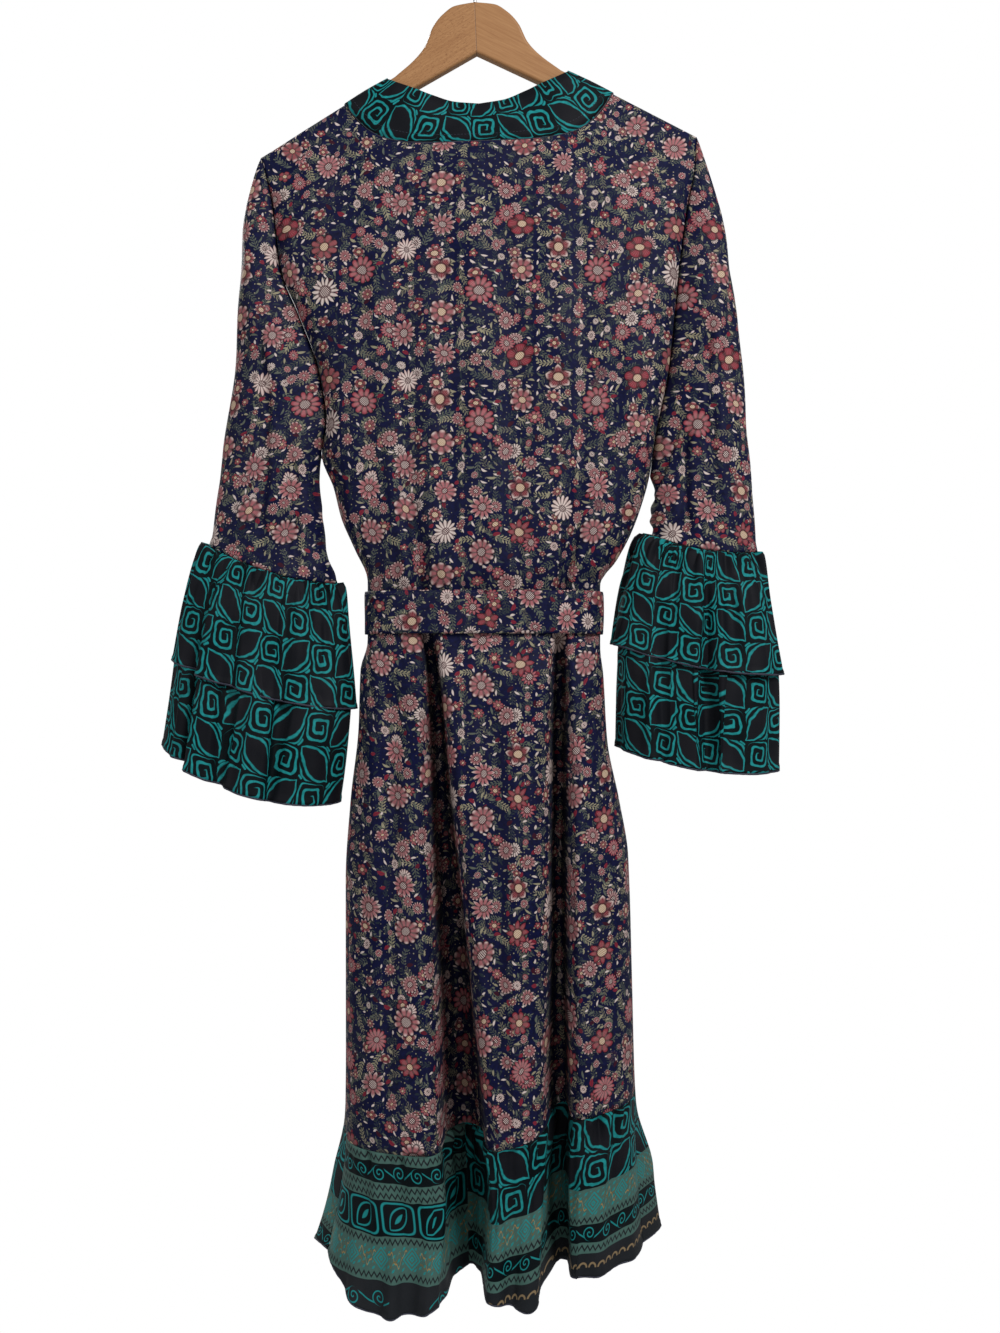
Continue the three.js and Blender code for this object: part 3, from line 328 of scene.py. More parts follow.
def front_edge(side, z):
    return read(FRONT_EDGE, "z", z, SIDE_NAME[side])


def sunk(x, centre, wide, depth):
    """How deep a rounded fold is at x."""
    off = np.abs(x - centre) / wide
    return np.where(off < 0.5, depth * np.cos(np.pi * off) ** 2, 0)


def soft_folds(folds, x, z):
    total = 0
    for x0, x1, top, foot, wide, depth in zip(*folds.values()):
        t = (top - z) / (top - foot)
        strength = smooth(t / 0.25) * smooth((1 - t) / 0.12)
        total = total + sunk(x, mix(x0, x1, clamp01(t)), wide, depth * strength)
    return total


def deep_fold(fold, x, z):
    return sunk(x, read(fold, "z", z, "x"), read(fold, "z", z, "wide"), read(fold, "z", z, "depth"))


def body_depth(face, x, z, folded=True):
    """The body's distance from the middle plane, behind (face 1) or in front (face -1)."""
    left, right = edge(1, z), edge(-1, z)
    share = (2 * x - left - right) / (left - right)
    low = np.where(share >= 0, edge(1, z, "deep"), edge(-1, z, "deep"))
    round_ = np.maximum(0, 1 - np.abs(share) ** ROUND) ** (1 / ROUND)
    full = mix(low, read(DEPTH, "z", z, "back" if face > 0 else "front"), round_)
    drop = height_at(x, ridge_line) - z
    bend = RIDGE * (1 - (1 - clamp01(drop / RIDGE)) ** RIDGE_SHAPE) ** (1 / RIDGE_SHAPE)
    base = mix(bend, full, smooth(drop / SETTLE))
    if not folded:
        return base
    if face > 0:
        sink = soft_folds(BACK_SOFT, x, z) + deep_fold(LEFT_FOLD, x, z) + deep_fold(RIGHT_FOLD, x, z)
    else:
        left_front, right_front = front_edge(1, z), front_edge(-1, z)
        off = np.where(x > (left_front + right_front) / 2, x - left_front, right_front - x)
        sink = soft_folds(FRONT_SOFT, x, z) * smooth(off / 40)
    return base - sink * round_


def underarm(x):
    right, left = RIGHT_EDGE["x"][0], LEFT_EDGE["x"][0]
    return mix(UNDERARM_RIGHT, UNDERARM_LEFT, clamp01((x - right) / (left - right)))


def seam_at(x, face):
    return read(SEAM_LINE, "x", x, "back" if face > 0 else "front")


def upper_line(share, face):
    return lambda x: mix(top_of_cloth(x, face), underarm(x), share)


def lower_line(share, face):
    return lambda x: mix(underarm(x), seam_at(x, face), share)


def hem_line(share, face):
    return lambda x: mix(seam_at(x, face) - SEAM, read(HEM_LINE, "x", x, "z"), share)


def place_on(line, share):
    share = np.asarray(share, float)
    x = np.zeros_like(share)
    z = line(x)
    for _ in range(6):
        left, right = edge(1, z), edge(-1, z)
        x = (left + right) / 2 + share * (left - right) / 2
        z = line(x)
    return x, z


def front_y(x, z, lap, folded=True):
    over = smooth((-z - 330) / 110) * smooth((edge(1, z) - x) / 40)
    return -(body_depth(-1, x, z, folded) + lap * over)


def fine_row(face, line, lap=0):
    """A row of close points right across the back or the fronts."""
    share = -np.cos(np.linspace(0, np.pi, 481))
    close = np.array([0, 0.0008, 0.002, 0.004, 0.007])
    share = np.sort(np.concatenate([share, NECK_SHARE_TOP - close, close - NECK_SHARE_TOP]))
    x, z = place_on(line, share)
    y = body_depth(1, x, z) if face > 0 else front_y(x, z, lap)
    return np.stack([x, face * np.maximum(SEAM / 2, np.abs(y)), z], 1)


def lengths_of(points):
    return np.concatenate([[0], np.cumsum(np.linalg.norm(np.diff(points, axis=0), axis=1))])


def divide(row, stations, counts):
    """Even steps along a row's length, between stations that fall on set columns."""
    length = lengths_of(row)
    stops = [0, *(np.interp(x, row[:, 0], length) + on for x, on in stations), length[-1]]
    parts = [np.linspace(a, b, n, endpoint=False) for a, b, n in zip(stops, stops[1:], counts)]
    at = np.append(np.concatenate(parts), stops[-1])
    return np.stack([np.interp(at, length, row[:, k]) for k in range(3)], 1)


def wave(turns, count, phase):
    return 0.65 * np.sin(2 * np.pi * count * turns + phase) + 0.35 * np.sin(
        2 * np.pi * count * 0.62 * turns + 2.3 * phase + 1
    )


def level_square(row, closed=False):
    """Level directions square to a row of points."""
    ahead, behind = np.roll(row, -1, 0), np.roll(row, 1, 0)
    if not closed:
        ahead[-1], behind[0] = row[-1], row[0]
    return unit(np.stack([behind[:, 1] - ahead[:, 1], ahead[:, 0] - behind[:, 0], np.zeros(len(row))], 1))


def hem_row(row, down, face):
    """A row of a hem ruffle, pushed out into its flares."""
    left, right = edge(1, row[:, 2]), edge(-1, row[:, 2])
    share = clamp01((row[:, 0] - right) / (left - right))
    flare = down * HEM_WAVE_DEPTH * np.sin(np.pi * share) ** 0.5 * wave(share, HEM_WAVES, 0.8)
    return row + level_square(row) * (face * flare)[:, None]


def spread_front(p):
    """The skirt spreads more at the front than at the back."""
    front, back = (read(SPREAD, "z", p[..., 2], name) for name in ("front", "back"))
    share = np.where(p[..., 1] < 0, front, back)
    out = p.copy()
    out[..., 0] *= 1 - share * p[..., 1] / SPREAD_DEPTH
    return out


def normals_of(grid, ring, facing):
    if ring:
        across = np.roll(grid, -1, 1) - np.roll(grid, 1, 1)
    else:
        across = np.gradient(grid, axis=1)
    return unit(np.cross(across, np.gradient(grid, axis=0)) * facing)


# Meshes
def finish_piece(ob, material, slot, *nodes):
    ob.data.materials.clear()
    ob.data.materials.append(material)
    if nodes:
        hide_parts(*nodes)
    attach(ob, "root")


def mesh_piece(name, points, faces, uv=None):
    """A smooth mesh from points in millimetres. uv holds a place in the cut cloth for each face corner."""
    mesh = bpy.data.meshes.new(name)
    mesh.from_pydata((np.asarray(points) * MM).tolist(), [], [list(f) for f in faces])
    mesh.polygons.foreach_set("use_smooth", np.ones(len(mesh.polygons), bool))
    if uv is not None:
        layer = mesh.uv_layers.new(name="cut")
        layer.data.foreach_set("uv", np.asarray(uv, np.float32).ravel())
    mesh.update()
    ob = bpy.data.objects.new(name, mesh)
    bpy.context.scene.collection.objects.link(ob)
    return ob


def ring_faces(rings, sides, loop=False):
    """Faces between rings of points in turn, capped at both ends unless the last ring meets the first."""
    faces = []
    for i in range(rings if loop else rings - 1):
        j = (i + 1) % rings
        for k in range(sides):
            n = (k + 1) % sides
            faces.append((i * sides + k, i * sides + n, j * sides + n, j * sides + k))
    if not loop:
        faces.append(tuple(range(sides))[::-1])
        faces.append(tuple((rings - 1) * sides + k for k in range(sides)))
    return faces


def shell(name, grid, uv, facing, ring=False, thick=THIN, roll=()):
    """A thin closed cloth on a grid of outer points. roll names the edges that have a rolled hem:
    "foot", "top", "first" or "last". uv has one column more than a ring's grid."""
    rows, count = grid.shape[:2]
    normal = normals_of(grid, ring, facing)
    v = np.arange(rows)[:, None] * np.ones((1, count))
    u = np.ones((rows, 1)) * np.arange(count)
    swell = np.zeros((rows, count))
    gaps = {"foot": rows - 1 - v, "top": v, "first": u, "last": count - 1 - u}
    for side in roll:
        swell = np.maximum(swell, np.where(gaps[side] < 2, ROLL, 0))
    outer = grid + normal * swell[..., None]
    inner = grid - normal * (thick + swell)[..., None]
    points = np.concatenate([outer.reshape(-1, 3), inner.reshape(-1, 3)])
    last = count if ring else count - 1
    r, c = np.meshgrid(np.arange(rows - 1), np.arange(last), indexing="ij")
    r, c = r.ravel(), c.ravel()
    faces, marks = [], []

    def quads(*corners):
        """Each corner is rows, columns and the layer (0 outer, 1 inner)."""
        order = corners if facing > 0 else corners[::-1]
        faces.append(np.stack([(layer * rows + rr) * count + cc % count for rr, cc, layer in order], 1))
        marks.append(np.stack([uv[rr, cc] for rr, cc, _ in order], 1))

    quads((r, c, 0), (r, c + 1, 0), (r + 1, c + 1, 0), (r + 1, c, 0))
    quads((r, c, 1), (r + 1, c, 1), (r + 1, c + 1, 1), (r, c + 1, 1))
    c = np.arange(last)
    top, foot = np.zeros_like(c), np.full_like(c, rows - 1)
    quads((top, c, 0), (top, c, 1), (top, c + 1, 1), (top, c + 1, 0))
    quads((foot, c, 0), (foot, c + 1, 0), (foot, c + 1, 1), (foot, c, 1))
    if not ring:
        r = np.arange(rows - 1)
        first, end = np.zeros_like(r), np.full_like(r, count - 1)
        quads((r, first, 0), (r + 1, first, 0), (r + 1, first, 1), (r, first, 1))
        quads((r, end, 0), (r, end, 1), (r + 1, end, 1), (r + 1, end, 0))
    return mesh_piece(name, points, np.concatenate(faces), np.concatenate(marks).reshape(-1, 2))


# Panels
def back_row(line, counts):
    z = float(line(np.zeros(1))[0])
    corner = mix(NECK_SHARE_TOP, NECK_SHARE_LOW, smooth((-200 - z) / 300))
    right = float(place_on(line, -corner)[0])
    left = float(place_on(line, corner)[0])
    stations = [
        (right, 0), (right, STRIP),
        (float(read(RIGHT_FOLD, "z", z, "x")), 0), (float(read(LEFT_FOLD, "z", z, "x")), 0),
        (left, -STRIP), (left, 0),
    ]
    return divide(fine_row(1, line), stations, counts)


def flat_u(grid, centre):
    """Lengths along each row in plan, measured from where it passes over centre."""
    step = np.hypot(np.diff(grid[..., 0], axis=1), np.diff(grid[..., 1], axis=1))
    u = np.concatenate([np.zeros((len(grid), 1)), np.cumsum(step, 1)], 1)
    centre = np.broadcast_to(centre, len(grid))
    at = [np.interp(x, row[:, 0], length) for x, row, length in zip(centre, grid, u)]
    return u - np.array(at)[:, None]


def drape(grid, u, z, fade, size, seed, facing=1):
    """Soft uneven ripples and creases that the solids leave out."""
    long_ = noise(u / 31, z / 190, seed) + 0.5 * noise(u / 15 + z / 160, z / 120, seed + 1)
    crease = noise(u / 7, z / 70 + u / 60, seed + 2) * 0.16
    return grid + normals_of(grid, False, facing) * (size * fade * (0.7 * long_ + crease))[..., None]


def valleys(x, z):
    """The two deep folds of the skirt, pinched into steep dark pleats."""
    total = 0
    for fold, pleat in ((LEFT_FOLD, LEFT_PLEAT), (RIGHT_FOLD, RIGHT_PLEAT)):
        off = np.abs(x - read(fold, "z", z, "x"))
        inside = smooth((read(pleat, "z", z, "wide") / 2 - off) / 7 + 0.5)
        total = total + read(pleat, "z", z, "depth") * inside
    return total


def crease_depth(off, z):
    """The cloth turns in along the armhole seams."""
    return 5.5 * smooth((-z - 190) / 110) * smooth((z + 575) / 60) * np.exp(-((off / 8) ** 2))


def armhole_crease(x, z):
    return crease_depth(np.minimum(edge(1, z) - x, x - edge(-1, z)), z)


def cinch(z):
    """The belt pulls the cloth in just above and below itself."""
    return 3.4 * np.exp(-np.maximum(0, np.abs(z - BELT_MIDDLE) - 16) / 9)


def body_fade(z):
    """No ripples at the shoulders or under the belt; they come back just above and below it, where
    gathers() adds the fine gathers.
    """
    return smooth((-185 - z) / 70) * smooth((np.abs(z - BELT_MIDDLE) - 22) / 30)


def gathers(u, z, seed):
    """Small folds above and below the belt, where it draws the cloth together."""
    off = np.maximum(0, np.abs(z - BELT_MIDDLE) - 21)
    strength = smooth(off / 8) * np.exp(-off / 42)
    return 3.2 * strength * noise(u / 7.0, z / 110, seed)


def body_lines(face, step_up, step_down):
    lines = [upper_line(s, face) for s in finer(UPPER_ROWS, step_up)]
    return lines + [lower_line(s, face) for s in finer(LOWER_ROWS, step_down)[1:]]


def back_panel(material):
    grid = np.array([back_row(line, BACK_COUNTS) for line in body_lines(1, 0.018, 0.0095)])
    u = flat_u(grid, -30)
    x, z = grid[..., 0], grid[..., 2]
    edges = smooth((edge(1, z) - x) / 14) * smooth((x - edge(-1, z)) / 14)
    grid = drape(grid, u, z, body_fade(z) * edges * smooth((z - seam_at(x, 1)) / 12), 2.4, 3)
    grid = grid + normals_of(grid, False, 1) * (gathers(u, z, 9) * edges)[..., None]
    grid[..., 1] -= (valleys(x, z) + cinch(z)) * edges
    grid[..., 1] -= armhole_crease(x, z) * smooth(np.abs(grid[..., 1]) / 12)
    grid = spread_front(grid)
    ob = shell("robe_back", grid, np.stack([u, -z], 2), 1)
    finish_piece(ob, material, "floral", "back")


def front_row(side, line, count, reach=0):
    lap = LAP if side > 0 else 0
    row = fine_row(-1, line, lap)
    stop = front_edge(side, row[:, 2]) - side * (reach - SEAM)
    kept = row[side * (row[:, 0] - stop) > 0]
    last = kept[:1] if side > 0 else kept[-1:]
    x = front_edge(side, last[:, 2]) - side * (reach - SEAM)
    end = np.stack([x, front_y(x, last[:, 2], lap), line(x)], 1)
    return divide(np.concatenate([end, kept] if side > 0 else [kept, end]), [], [count])


def front_panel(side, material):
    name = SIDE_NAME[side]
    grid = np.array([front_row(side, line, 58) for line in body_lines(-1, 0.022, 0.012)])
    x, z = grid[..., 0], grid[..., 2]
    u = flat_u(grid, 0)
    u = u - (u[:, :1] if side > 0 else u[:, -1:])
    edges = smooth((side * (edge(side, z) - x)) / 14) * smooth((side * (x - front_edge(side, z))) / 16)
    fade = body_fade(z) * edges * smooth((z - seam_at(x, -1)) / 12)
    grid = drape(grid, u, z, fade, 2.0, 20 + side, facing=-1)
    grid = grid + normals_of(grid, False, -1) * (gathers(u, z, 15 + side) * edges)[..., None]
    grid[..., 1] += cinch(z) * edges + armhole_crease(x, z) * smooth(np.abs(grid[..., 1]) / 12)
    grid = spread_front(grid)
    ob = shell(f"robe_front_{name}", grid, np.stack([u, -z], 2), -1)
    finish_piece(ob, material, "floral", f"front_{name}")


def calm_sides(x):
    """A ruffle lies flat where the back's and the fronts' are sewn to each other."""
    return smooth(np.minimum(x.max(1, keepdims=True) - x, x - x.min(1, keepdims=True)) / 16)


def ruffle_waves(u, down, seed):
    """Gathers just under a ruffle's seam, and slow uneven flares towards its hem."""
    near = np.exp(-down / 46) * smooth((down + 1) / 6)
    fine = 8.0 * near * noise(u / 7.0, down / 70, seed)
    return fine + 5.0 * smooth(down / 60) * noise(u / 17, down / 170, seed + 1)


def hem_back(material, edging):
    shares = np.linspace(0, 1, 50)
    grid = np.array([hem_row(back_row(hem_line(s, 1), HEM_COUNTS), s, 1) for s in shares])
    x, z = grid[..., 0], grid[..., 2]
    u = flat_u(grid, read(LEFT_FOLD, "z", z.mean(1), "x")) * 1.12
    down = seam_at(x, 1) - z
    waves = calm_sides(x) * ruffle_waves(u, down, 31)
    grid = grid + normals_of(grid, False, 1) * waves[..., None]
    grid[..., 1] -= valleys(x, z)
    grid = spread_front(grid)
    ob = shell("robe_hem_ruffle_back", grid, np.stack([u, down], 2), 1, roll=["foot"])
    finish_piece(ob, material, "teal_print", "hem_ruffle_back")
    rolled_hem("robe_hem_roll_back", grid[-1], edging, "teal_print")


def hem_front(side, material, edging):
    name = SIDE_NAME[side]
    shares = np.linspace(0, 1, 40)
    grid = np.array([hem_row(front_row(side, hem_line(s, -1), 140, BAND_WIDTH), s, -1) for s in shares])
    x, z = grid[..., 0], grid[..., 2]
    u = flat_u(grid, 0) * 1.12
    down = seam_at(x, -1) - z
    inside = smooth(side * (x - front_edge(side, z)) / 20 + 2.2)
    waves = calm_sides(x) * inside * ruffle_waves(u, down, 41 + side)
    grid = grid + normals_of(grid, False, -1) * waves[..., None]
    grid = spread_front(grid)
    roll = ["foot", "first" if side > 0 else "last"]
    uv = np.stack([u + 700 * side, down], 2)
    ob = shell(f"robe_hem_ruffle_{name}", grid, uv, -1, roll=roll)
    finish_piece(ob, material, "teal_print", f"hem_ruffle_{name}")
    rolled_hem(f"robe_hem_roll_{name}", grid[-1], edging, "teal_print")


# Neck band
def band_back(sewn, side):
    u, y, w, lift = (read(BAND, "sewn", sewn, k) for k in ("u", "y", "w", "lift"))
    x, z = from_hanger(side * sewn, neck_fall(sewn))
    low = np.stack([x, body_depth(1, x, z, False), z + BAND_LIFT + lift], 1)
    fx, fz = from_hanger(side * u, w)
    return low, np.stack([fx, y, fz], 1)


def band_front(drop, side, t):
    wide, rise, lift = (read(BAND_FRONT, "drop", drop, k) for k in ("wide", "rise", "lift"))
    top = float(top_of_cloth(np.array([front_edge(side, FRONT_EDGE["z"][0])]), -1)[0])
    z = top - drop
    x = front_edge(side, z) - side * BAND_LIFT
    px = x - side * (wide - BAND_LIFT) * t
    pz = np.maximum(z + rise * (1 + side * BAND_SKEW) * t, seam_at(px, -1) + SEAM)
    return np.stack([px, front_y(px, pz, LAP if side > 0 else 0, False), pz + lift], 1)


def neck_band(material, edging):
    back = finer(BAND["sewn"], 3.5)
    drops = finer([0.9, 3, 12, 40, 90, 150, 1040], 5)
    shares = np.linspace(0, 1, 7)

    def side_rows(side):
        low, free = band_back(back[1:], side)
        round_ = np.stack([mix(low, free, t) for t in shares])
        down = np.stack([band_front(drops, side, t) for t in shares])
        return np.concatenate([round_, down], 1)

    low, free = band_back(back[:1], 1)
    middle = np.stack([mix(low, free, t) for t in shares])
    grid = np.concatenate([side_rows(1)[:, ::-1], middle, side_rows(-1)], 1)
    keep = np.concatenate([[True], np.linalg.norm(np.diff(grid[0], axis=0), axis=1) > 0.4])
    grid = grid[:, keep]
    length = lengths_of(grid[0])
    length = length - length[np.argmin(np.abs(grid[0, :, 0]) + np.abs(grid[0, :, 1] - 30))]
    crown = np.sin(np.pi * shares)[:, None] * (0.7 + 0.5 * noise(length / 24, length * 0, 52))
    grid = grid + normals_of(grid, False, 1) * crown[..., None]
    grid = spread_front(grid)
    uv = np.stack(np.meshgrid(length, shares * BAND_WIDTH), 2)
    ob = shell("robe_neck_band", grid, uv, 1, thick=DOUBLE)
    finish_piece(ob, material, "teal_print", "neck_band")
    seam = grid[0] - normals_of(grid, False, 1)[0] * DOUBLE / 2
    rolled_hem("robe_band_seam", seam, edging, "teal_print", radius=0.9)
    stitches("band_stitches", grid[1], edging, "teal_print")


# Sleeves and cuffs
def round_shares(list_):
    """Shares from the outer line down the back to the inner line, then up the front."""
    face = np.concatenate([np.ones(len(list_)), -np.ones(len(list_) - 2)])
    share = np.concatenate([list_, list_[1:-1][::-1]])
    turn = np.arccos(1 - 2 * share) / (2 * np.pi)
    return share, face, np.where(face > 0, turn, 1 - turn)


def tube_ring(outer, inner, depth, ring, swell, sag, bow=0):
    share, face, _ = ring
    wide = math.hypot(outer[0] - inner[0], outer[1] - inner[1])
    lean = 1 - 2 * share
    side = face * np.sqrt(np.maximum(0, 1 - lean**2)) ** TUBE_SHAPE
    x = mix(outer[0], inner[0], share) + lean * swell * (outer[0] - inner[0]) / wide
    x = x + bow * np.sin(np.pi * share)
    z = mix(outer[1], inner[1], share) - sag * side * np.abs(side)
    return np.stack([x, side * (depth + swell), z], 1)


def trough(at, wide, share, back):
    """A fold down the back of a sleeve or a cuff."""
    inside = back & (np.abs(share - at) < wide / 2)
    return np.where(inside, np.cos(np.pi * (share - at) / wide) ** 2, 0)


def armhole(side, ring):
    """The sleeve's seam round the armhole."""
    share, face, _ = ring
    seam = np.zeros((len(share), 3))
    for way in (1, -1):
        pick = face == way
        points = [place_on(upper_line(s, way), side) for s in share[pick]]
        x, z = (np.array([float(p[k]) for p in points]) for k in (0, 1))
        y = way * np.where((share[pick] == 0) | (share[pick] == 1), 0, body_depth(way, x, z))
        seam[pick] = np.stack([x + side * SLEEVE_GAP, y, z], 1)
    return seam


def sleeve_row(side, down, ring, seam):
    shape = SLEEVE[side]
    share, face, _ = ring
    outer, inner = along(shape["outer"], down), along(shape["inner"], down)
    swell = np.zeros(len(share))
    for at, top, foot, wide, depth in zip(*shape["folds"].values()):
        strength = smooth((down - top) / 0.15) * smooth((foot + 0.15 - down) / 0.15)
        swell -= depth * trough(at, wide, share, face > 0) * strength
    bow = side * SLEEVE_BOW * (1 - down) ** 2
    tube = tube_ring(outer, inner, SLEEVE_DEPTH, ring, swell, SLEEVE_SAG * down, bow)
    return mix(seam, tube, smooth(down / SLEEVE_EASE))


def ring_uv(grid, v):
    """Lengths round each row from the outer line, back positive and front negative. The grid has been
    turned so that its first column is the inner line, where the tube's own seam is."""
    closed = np.concatenate([grid, grid[:, :1]], 1)
    step = np.linalg.norm(np.diff(closed, axis=1), axis=2)
    u = np.concatenate([np.zeros((len(grid), 1)), np.cumsum(step, 1)], 1)
    u = u - u[:, grid.shape[1] // 2][:, None]
    return np.stack([u, v[:, None] + u * 0], 2)


def sleeve_uv(side, grid):
    """The print hangs upright on the sleeve: lengths round it at each height, from its outer line."""
    outer = SLEEVE[side]["outer"]
    half = 58.0
    t = np.linspace(0, np.pi / 2, 200)
    out, deep = half * (1 - np.cos(t)), SLEEVE_DEPTH * np.sin(t) ** TUBE_SHAPE
    length = np.concatenate([[0], np.cumsum(np.hypot(np.diff(out), np.diff(deep)))])
    closed = np.concatenate([grid, grid[:, :1]], 1)
    x, z = closed[..., 0], closed[..., 2]
    table = {"z": outer["z"], "x": outer["x"]}
    off = np.maximum(0, side * (read(table, "z", z, "x") - x))
    u = np.where(off < half, np.interp(off, out, length), length[-1] + (off - half))
    way = np.ones(closed.shape[1])
    way[: grid.shape[1] // 2] = -1
    return np.stack([u * way[None, :] + 45.0 * side, -z], 2)


def sleeve(side, material):
    name = SIDE_NAME[side]
    ring = round_shares(finer(UPPER_ROWS, 0.021))
    seam = armhole(side, ring)
    grid = np.array([sleeve_row(side, down, ring, seam) for down in np.linspace(0, 1, 100)])
    turn = grid.shape[1] // 2
    grid = np.roll(grid, -turn, 1)
    v = lengths_of(grid[:, turn])
    uv = sleeve_uv(side, grid)
    u = uv[:, :-1, 0]
    facing = -side
    vv = np.linspace(0, v[-1], len(grid))[:, None] + 0 * u
    fade = smooth(vv / 70) * smooth((v[-1] - vv) / 10)
    # Slanting creases at the elbow, where the sleeve bends under its own weight
    slant = noise(u / 26 + vv / 55 * side, vv / 75, 61 + side)
    slant = slant + 0.4 * noise(u / 11, vv / 60 + u / 40, 71 + side)
    grid = grid + normals_of(grid, True, facing) * (2.2 * fade * slant)[..., None]
    y = grid[..., 1]
    turn_in = crease_depth(vv, grid[..., 2]) * smooth(np.abs(y) / 12)
    grid[..., 1] = y - np.sign(y) * turn_in
    ob = shell(f"robe_sleeve_{name}", grid, uv, facing, ring=True)
    finish_piece(ob, material, "floral", f"sleeve_{name}")


def cuff_row(side, tier, share_down, ring):
    sleeve_shape, shape = SLEEVE[side], CUFF[side]
    upper, goal = shape["upper"], shape[tier]
    start = {k: (sleeve_shape[k]["x"][-1], sleeve_shape[k]["z"][-1]) for k in ("outer", "inner")}
    lower = tier == "lower"
    top = start["outer"][1]
    low = (goal["outer"][1] - top) / (upper["outer"][1] - top) if lower else 1
    level = share_down * low
    spread = {"outer": min(1, level) ** 0.6, "inner": min(1, level) ** 0.35}
    past = min(1, max(0, (level - 1) / (low - 1))) if lower else 0
    ends = {
        k: (
            mix(mix(start[k][0], upper[k][0], spread[k]), goal[k][0], past),
            mix(start[k][1], goal[k][1], share_down) - SEAM,
        )
        for k in ("outer", "inner")
    }
    depth = mix(mix(SLEEVE_DEPTH, upper["depth"], spread["outer"]), goal["depth"], past)
    share, face, turn = ring
    amount = min(1, level)
    gathered = np.sin(2 * np.pi * turn) ** 2 * wave(turn, CUFF_WAVES, shape["phase"])
    swell = amount * CUFF_WAVE_DEPTH * gathered
    for at, wide, fold in zip(*shape["folds"].values()):
        swell = swell - fold * amount * trough(at, wide, share, face > 0)
    sag = mix(mix(SLEEVE_SAG, upper["sag"], amount), goal["sag"], past)
    out = tube_ring(ends["outer"], ends["inner"], depth, ring, swell, sag)
    inset = WALL + mix(SEAM, TIER_GAP, float(smooth(level / TIER_EASE)))
    return out + level_square(out, closed=True) * side * inset * (1 - past) if lower else out


def cuff_tier(side, tier, material, edging):
    name = f"{tier}_{SIDE_NAME[side]}"
    ring = round_shares((1 - np.cos(np.linspace(0, np.pi, 117))) / 2)
    rows = 46 if tier == "upper" else 62
    grid = np.array([cuff_row(side, tier, s, ring) for s in np.linspace(0, 1, rows)])
    turn = grid.shape[1] // 2
    grid = np.roll(grid, -turn, 1)
    v = lengths_of(grid[:, turn])
    uv = ring_uv(grid, v)
    uv[..., 0] = uv[-1:, :, 0] * 1.04  # the ruffle is one width all the way, gathered at its seam
    u, down = uv[:, :-1, 0], uv[:, :-1, 1]
    waves = ruffle_waves(u, down, {"upper": 81, "lower": 91}[tier] + side)
    if tier == "lower":
        waves = waves * smooth((down - 60) / 60)
    grid = grid + normals_of(grid, True, -side) * waves[..., None]
    ob = shell(f"robe_cuff_{name}", grid, uv + [[[37.0 * side, 0]]], -side, ring=True, roll=["foot"])
    finish_piece(ob, material, "teal_print", f"cuff_{name}")
    rolled_hem(f"robe_cuff_roll_{name}", grid[-1], edging, "teal_print", closed=True)


# Belt
def belt_point(turn, z):
    left, right = edge(1, z) + BELT_OFF, edge(-1, z) - BELT_OFF
    share = np.cos(turn)
    back = np.sin(turn) >= 0
    depth = np.where(back, read(DEPTH, "z", z, "back"), read(DEPTH, "z", z, "front")) + BELT_OFF
    round_ = np.maximum(0, 1 - np.abs(share) ** ROUND) ** (1 / ROUND)
    x = (left + right) / 2 + share * (left - right) / 2
    lap = LAP * smooth((left + BELT_EASE - x) / 40) * smooth((x - right) / 50)
    return np.stack([x, np.where(back, depth * round_, -(depth * round_ + lap)), z + 0 * x], 1)


def belt(material, thread):
    even = np.linspace(0, 2 * np.pi, 2000)
    closed = belt_point(even, BELT_MIDDLE)
    length = lengths_of(closed)
    where = np.linspace(0, length[-1], 220, endpoint=False)
    z = np.linspace(BELT_TOP, BELT_FOOT, 15)
    grid = np.array([belt_point(np.interp(where, length, even), zz) for zz in z])
    share = np.linspace(0, 1, 15)[:, None]
    bulge = 0.5 * np.sin(np.pi * share) ** 0.5 * (1 + noise(where / 19 + share, where * 0, 101))
    grid = grid + normals_of(grid, True, -1) * bulge[..., None]
    grid = np.roll(grid, grid.shape[1] // 4, 1)
    uv = np.stack(np.meshgrid(np.append(where, length[-1]), -z), 2)
    ob = shell("robe_belt", grid, uv, -1, ring=True, thick=DOUBLE)
    finish_piece(ob, material, "floral", "belt")
    for name, row in (("top", 1), ("foot", -2)):
        line = np.concatenate([grid[row], grid[row, :1]])
        stitches(f"belt_stitches_{name}", line, thread, "floral")


def tail_grid(x0, x1, end):
    start = KNOT_Z - KNOT_TALL / 2 - SEAM
    t = np.linspace(0, 1, 84)
    z = mix(start, end, t)
    x = mix(x0, x1, t)
    k = np.linspace(-0.5, 0.5, 13)
    px = x[:, None] + k[None, :] * TAIL_WIDTH * mix(0.6, 1, smooth(t / 0.3))[:, None]
    # The solids' tails stand on the furthest of three points of each of seven rows
    coarse = np.linspace(0, 1, 7)
    cz, cx = mix(start, end, coarse), mix(x0, x1, coarse)
    half = TAIL_WIDTH / 2 * mix(0.6, 1, smooth(coarse / 0.3))[:, None]
    sides = cx[:, None] + np.array([-1, 0, 1]) * half
    out = np.min(front_y(sides, cz[:, None] + 0 * sides, LAP, False), 1)
    y = np.interp(t, coarse, np.minimum(out - 2 - SEAM, TAIL_FRONT))
    return np.stack([px, y[:, None] + 0 * px, z[:, None] + 0 * px], 2)


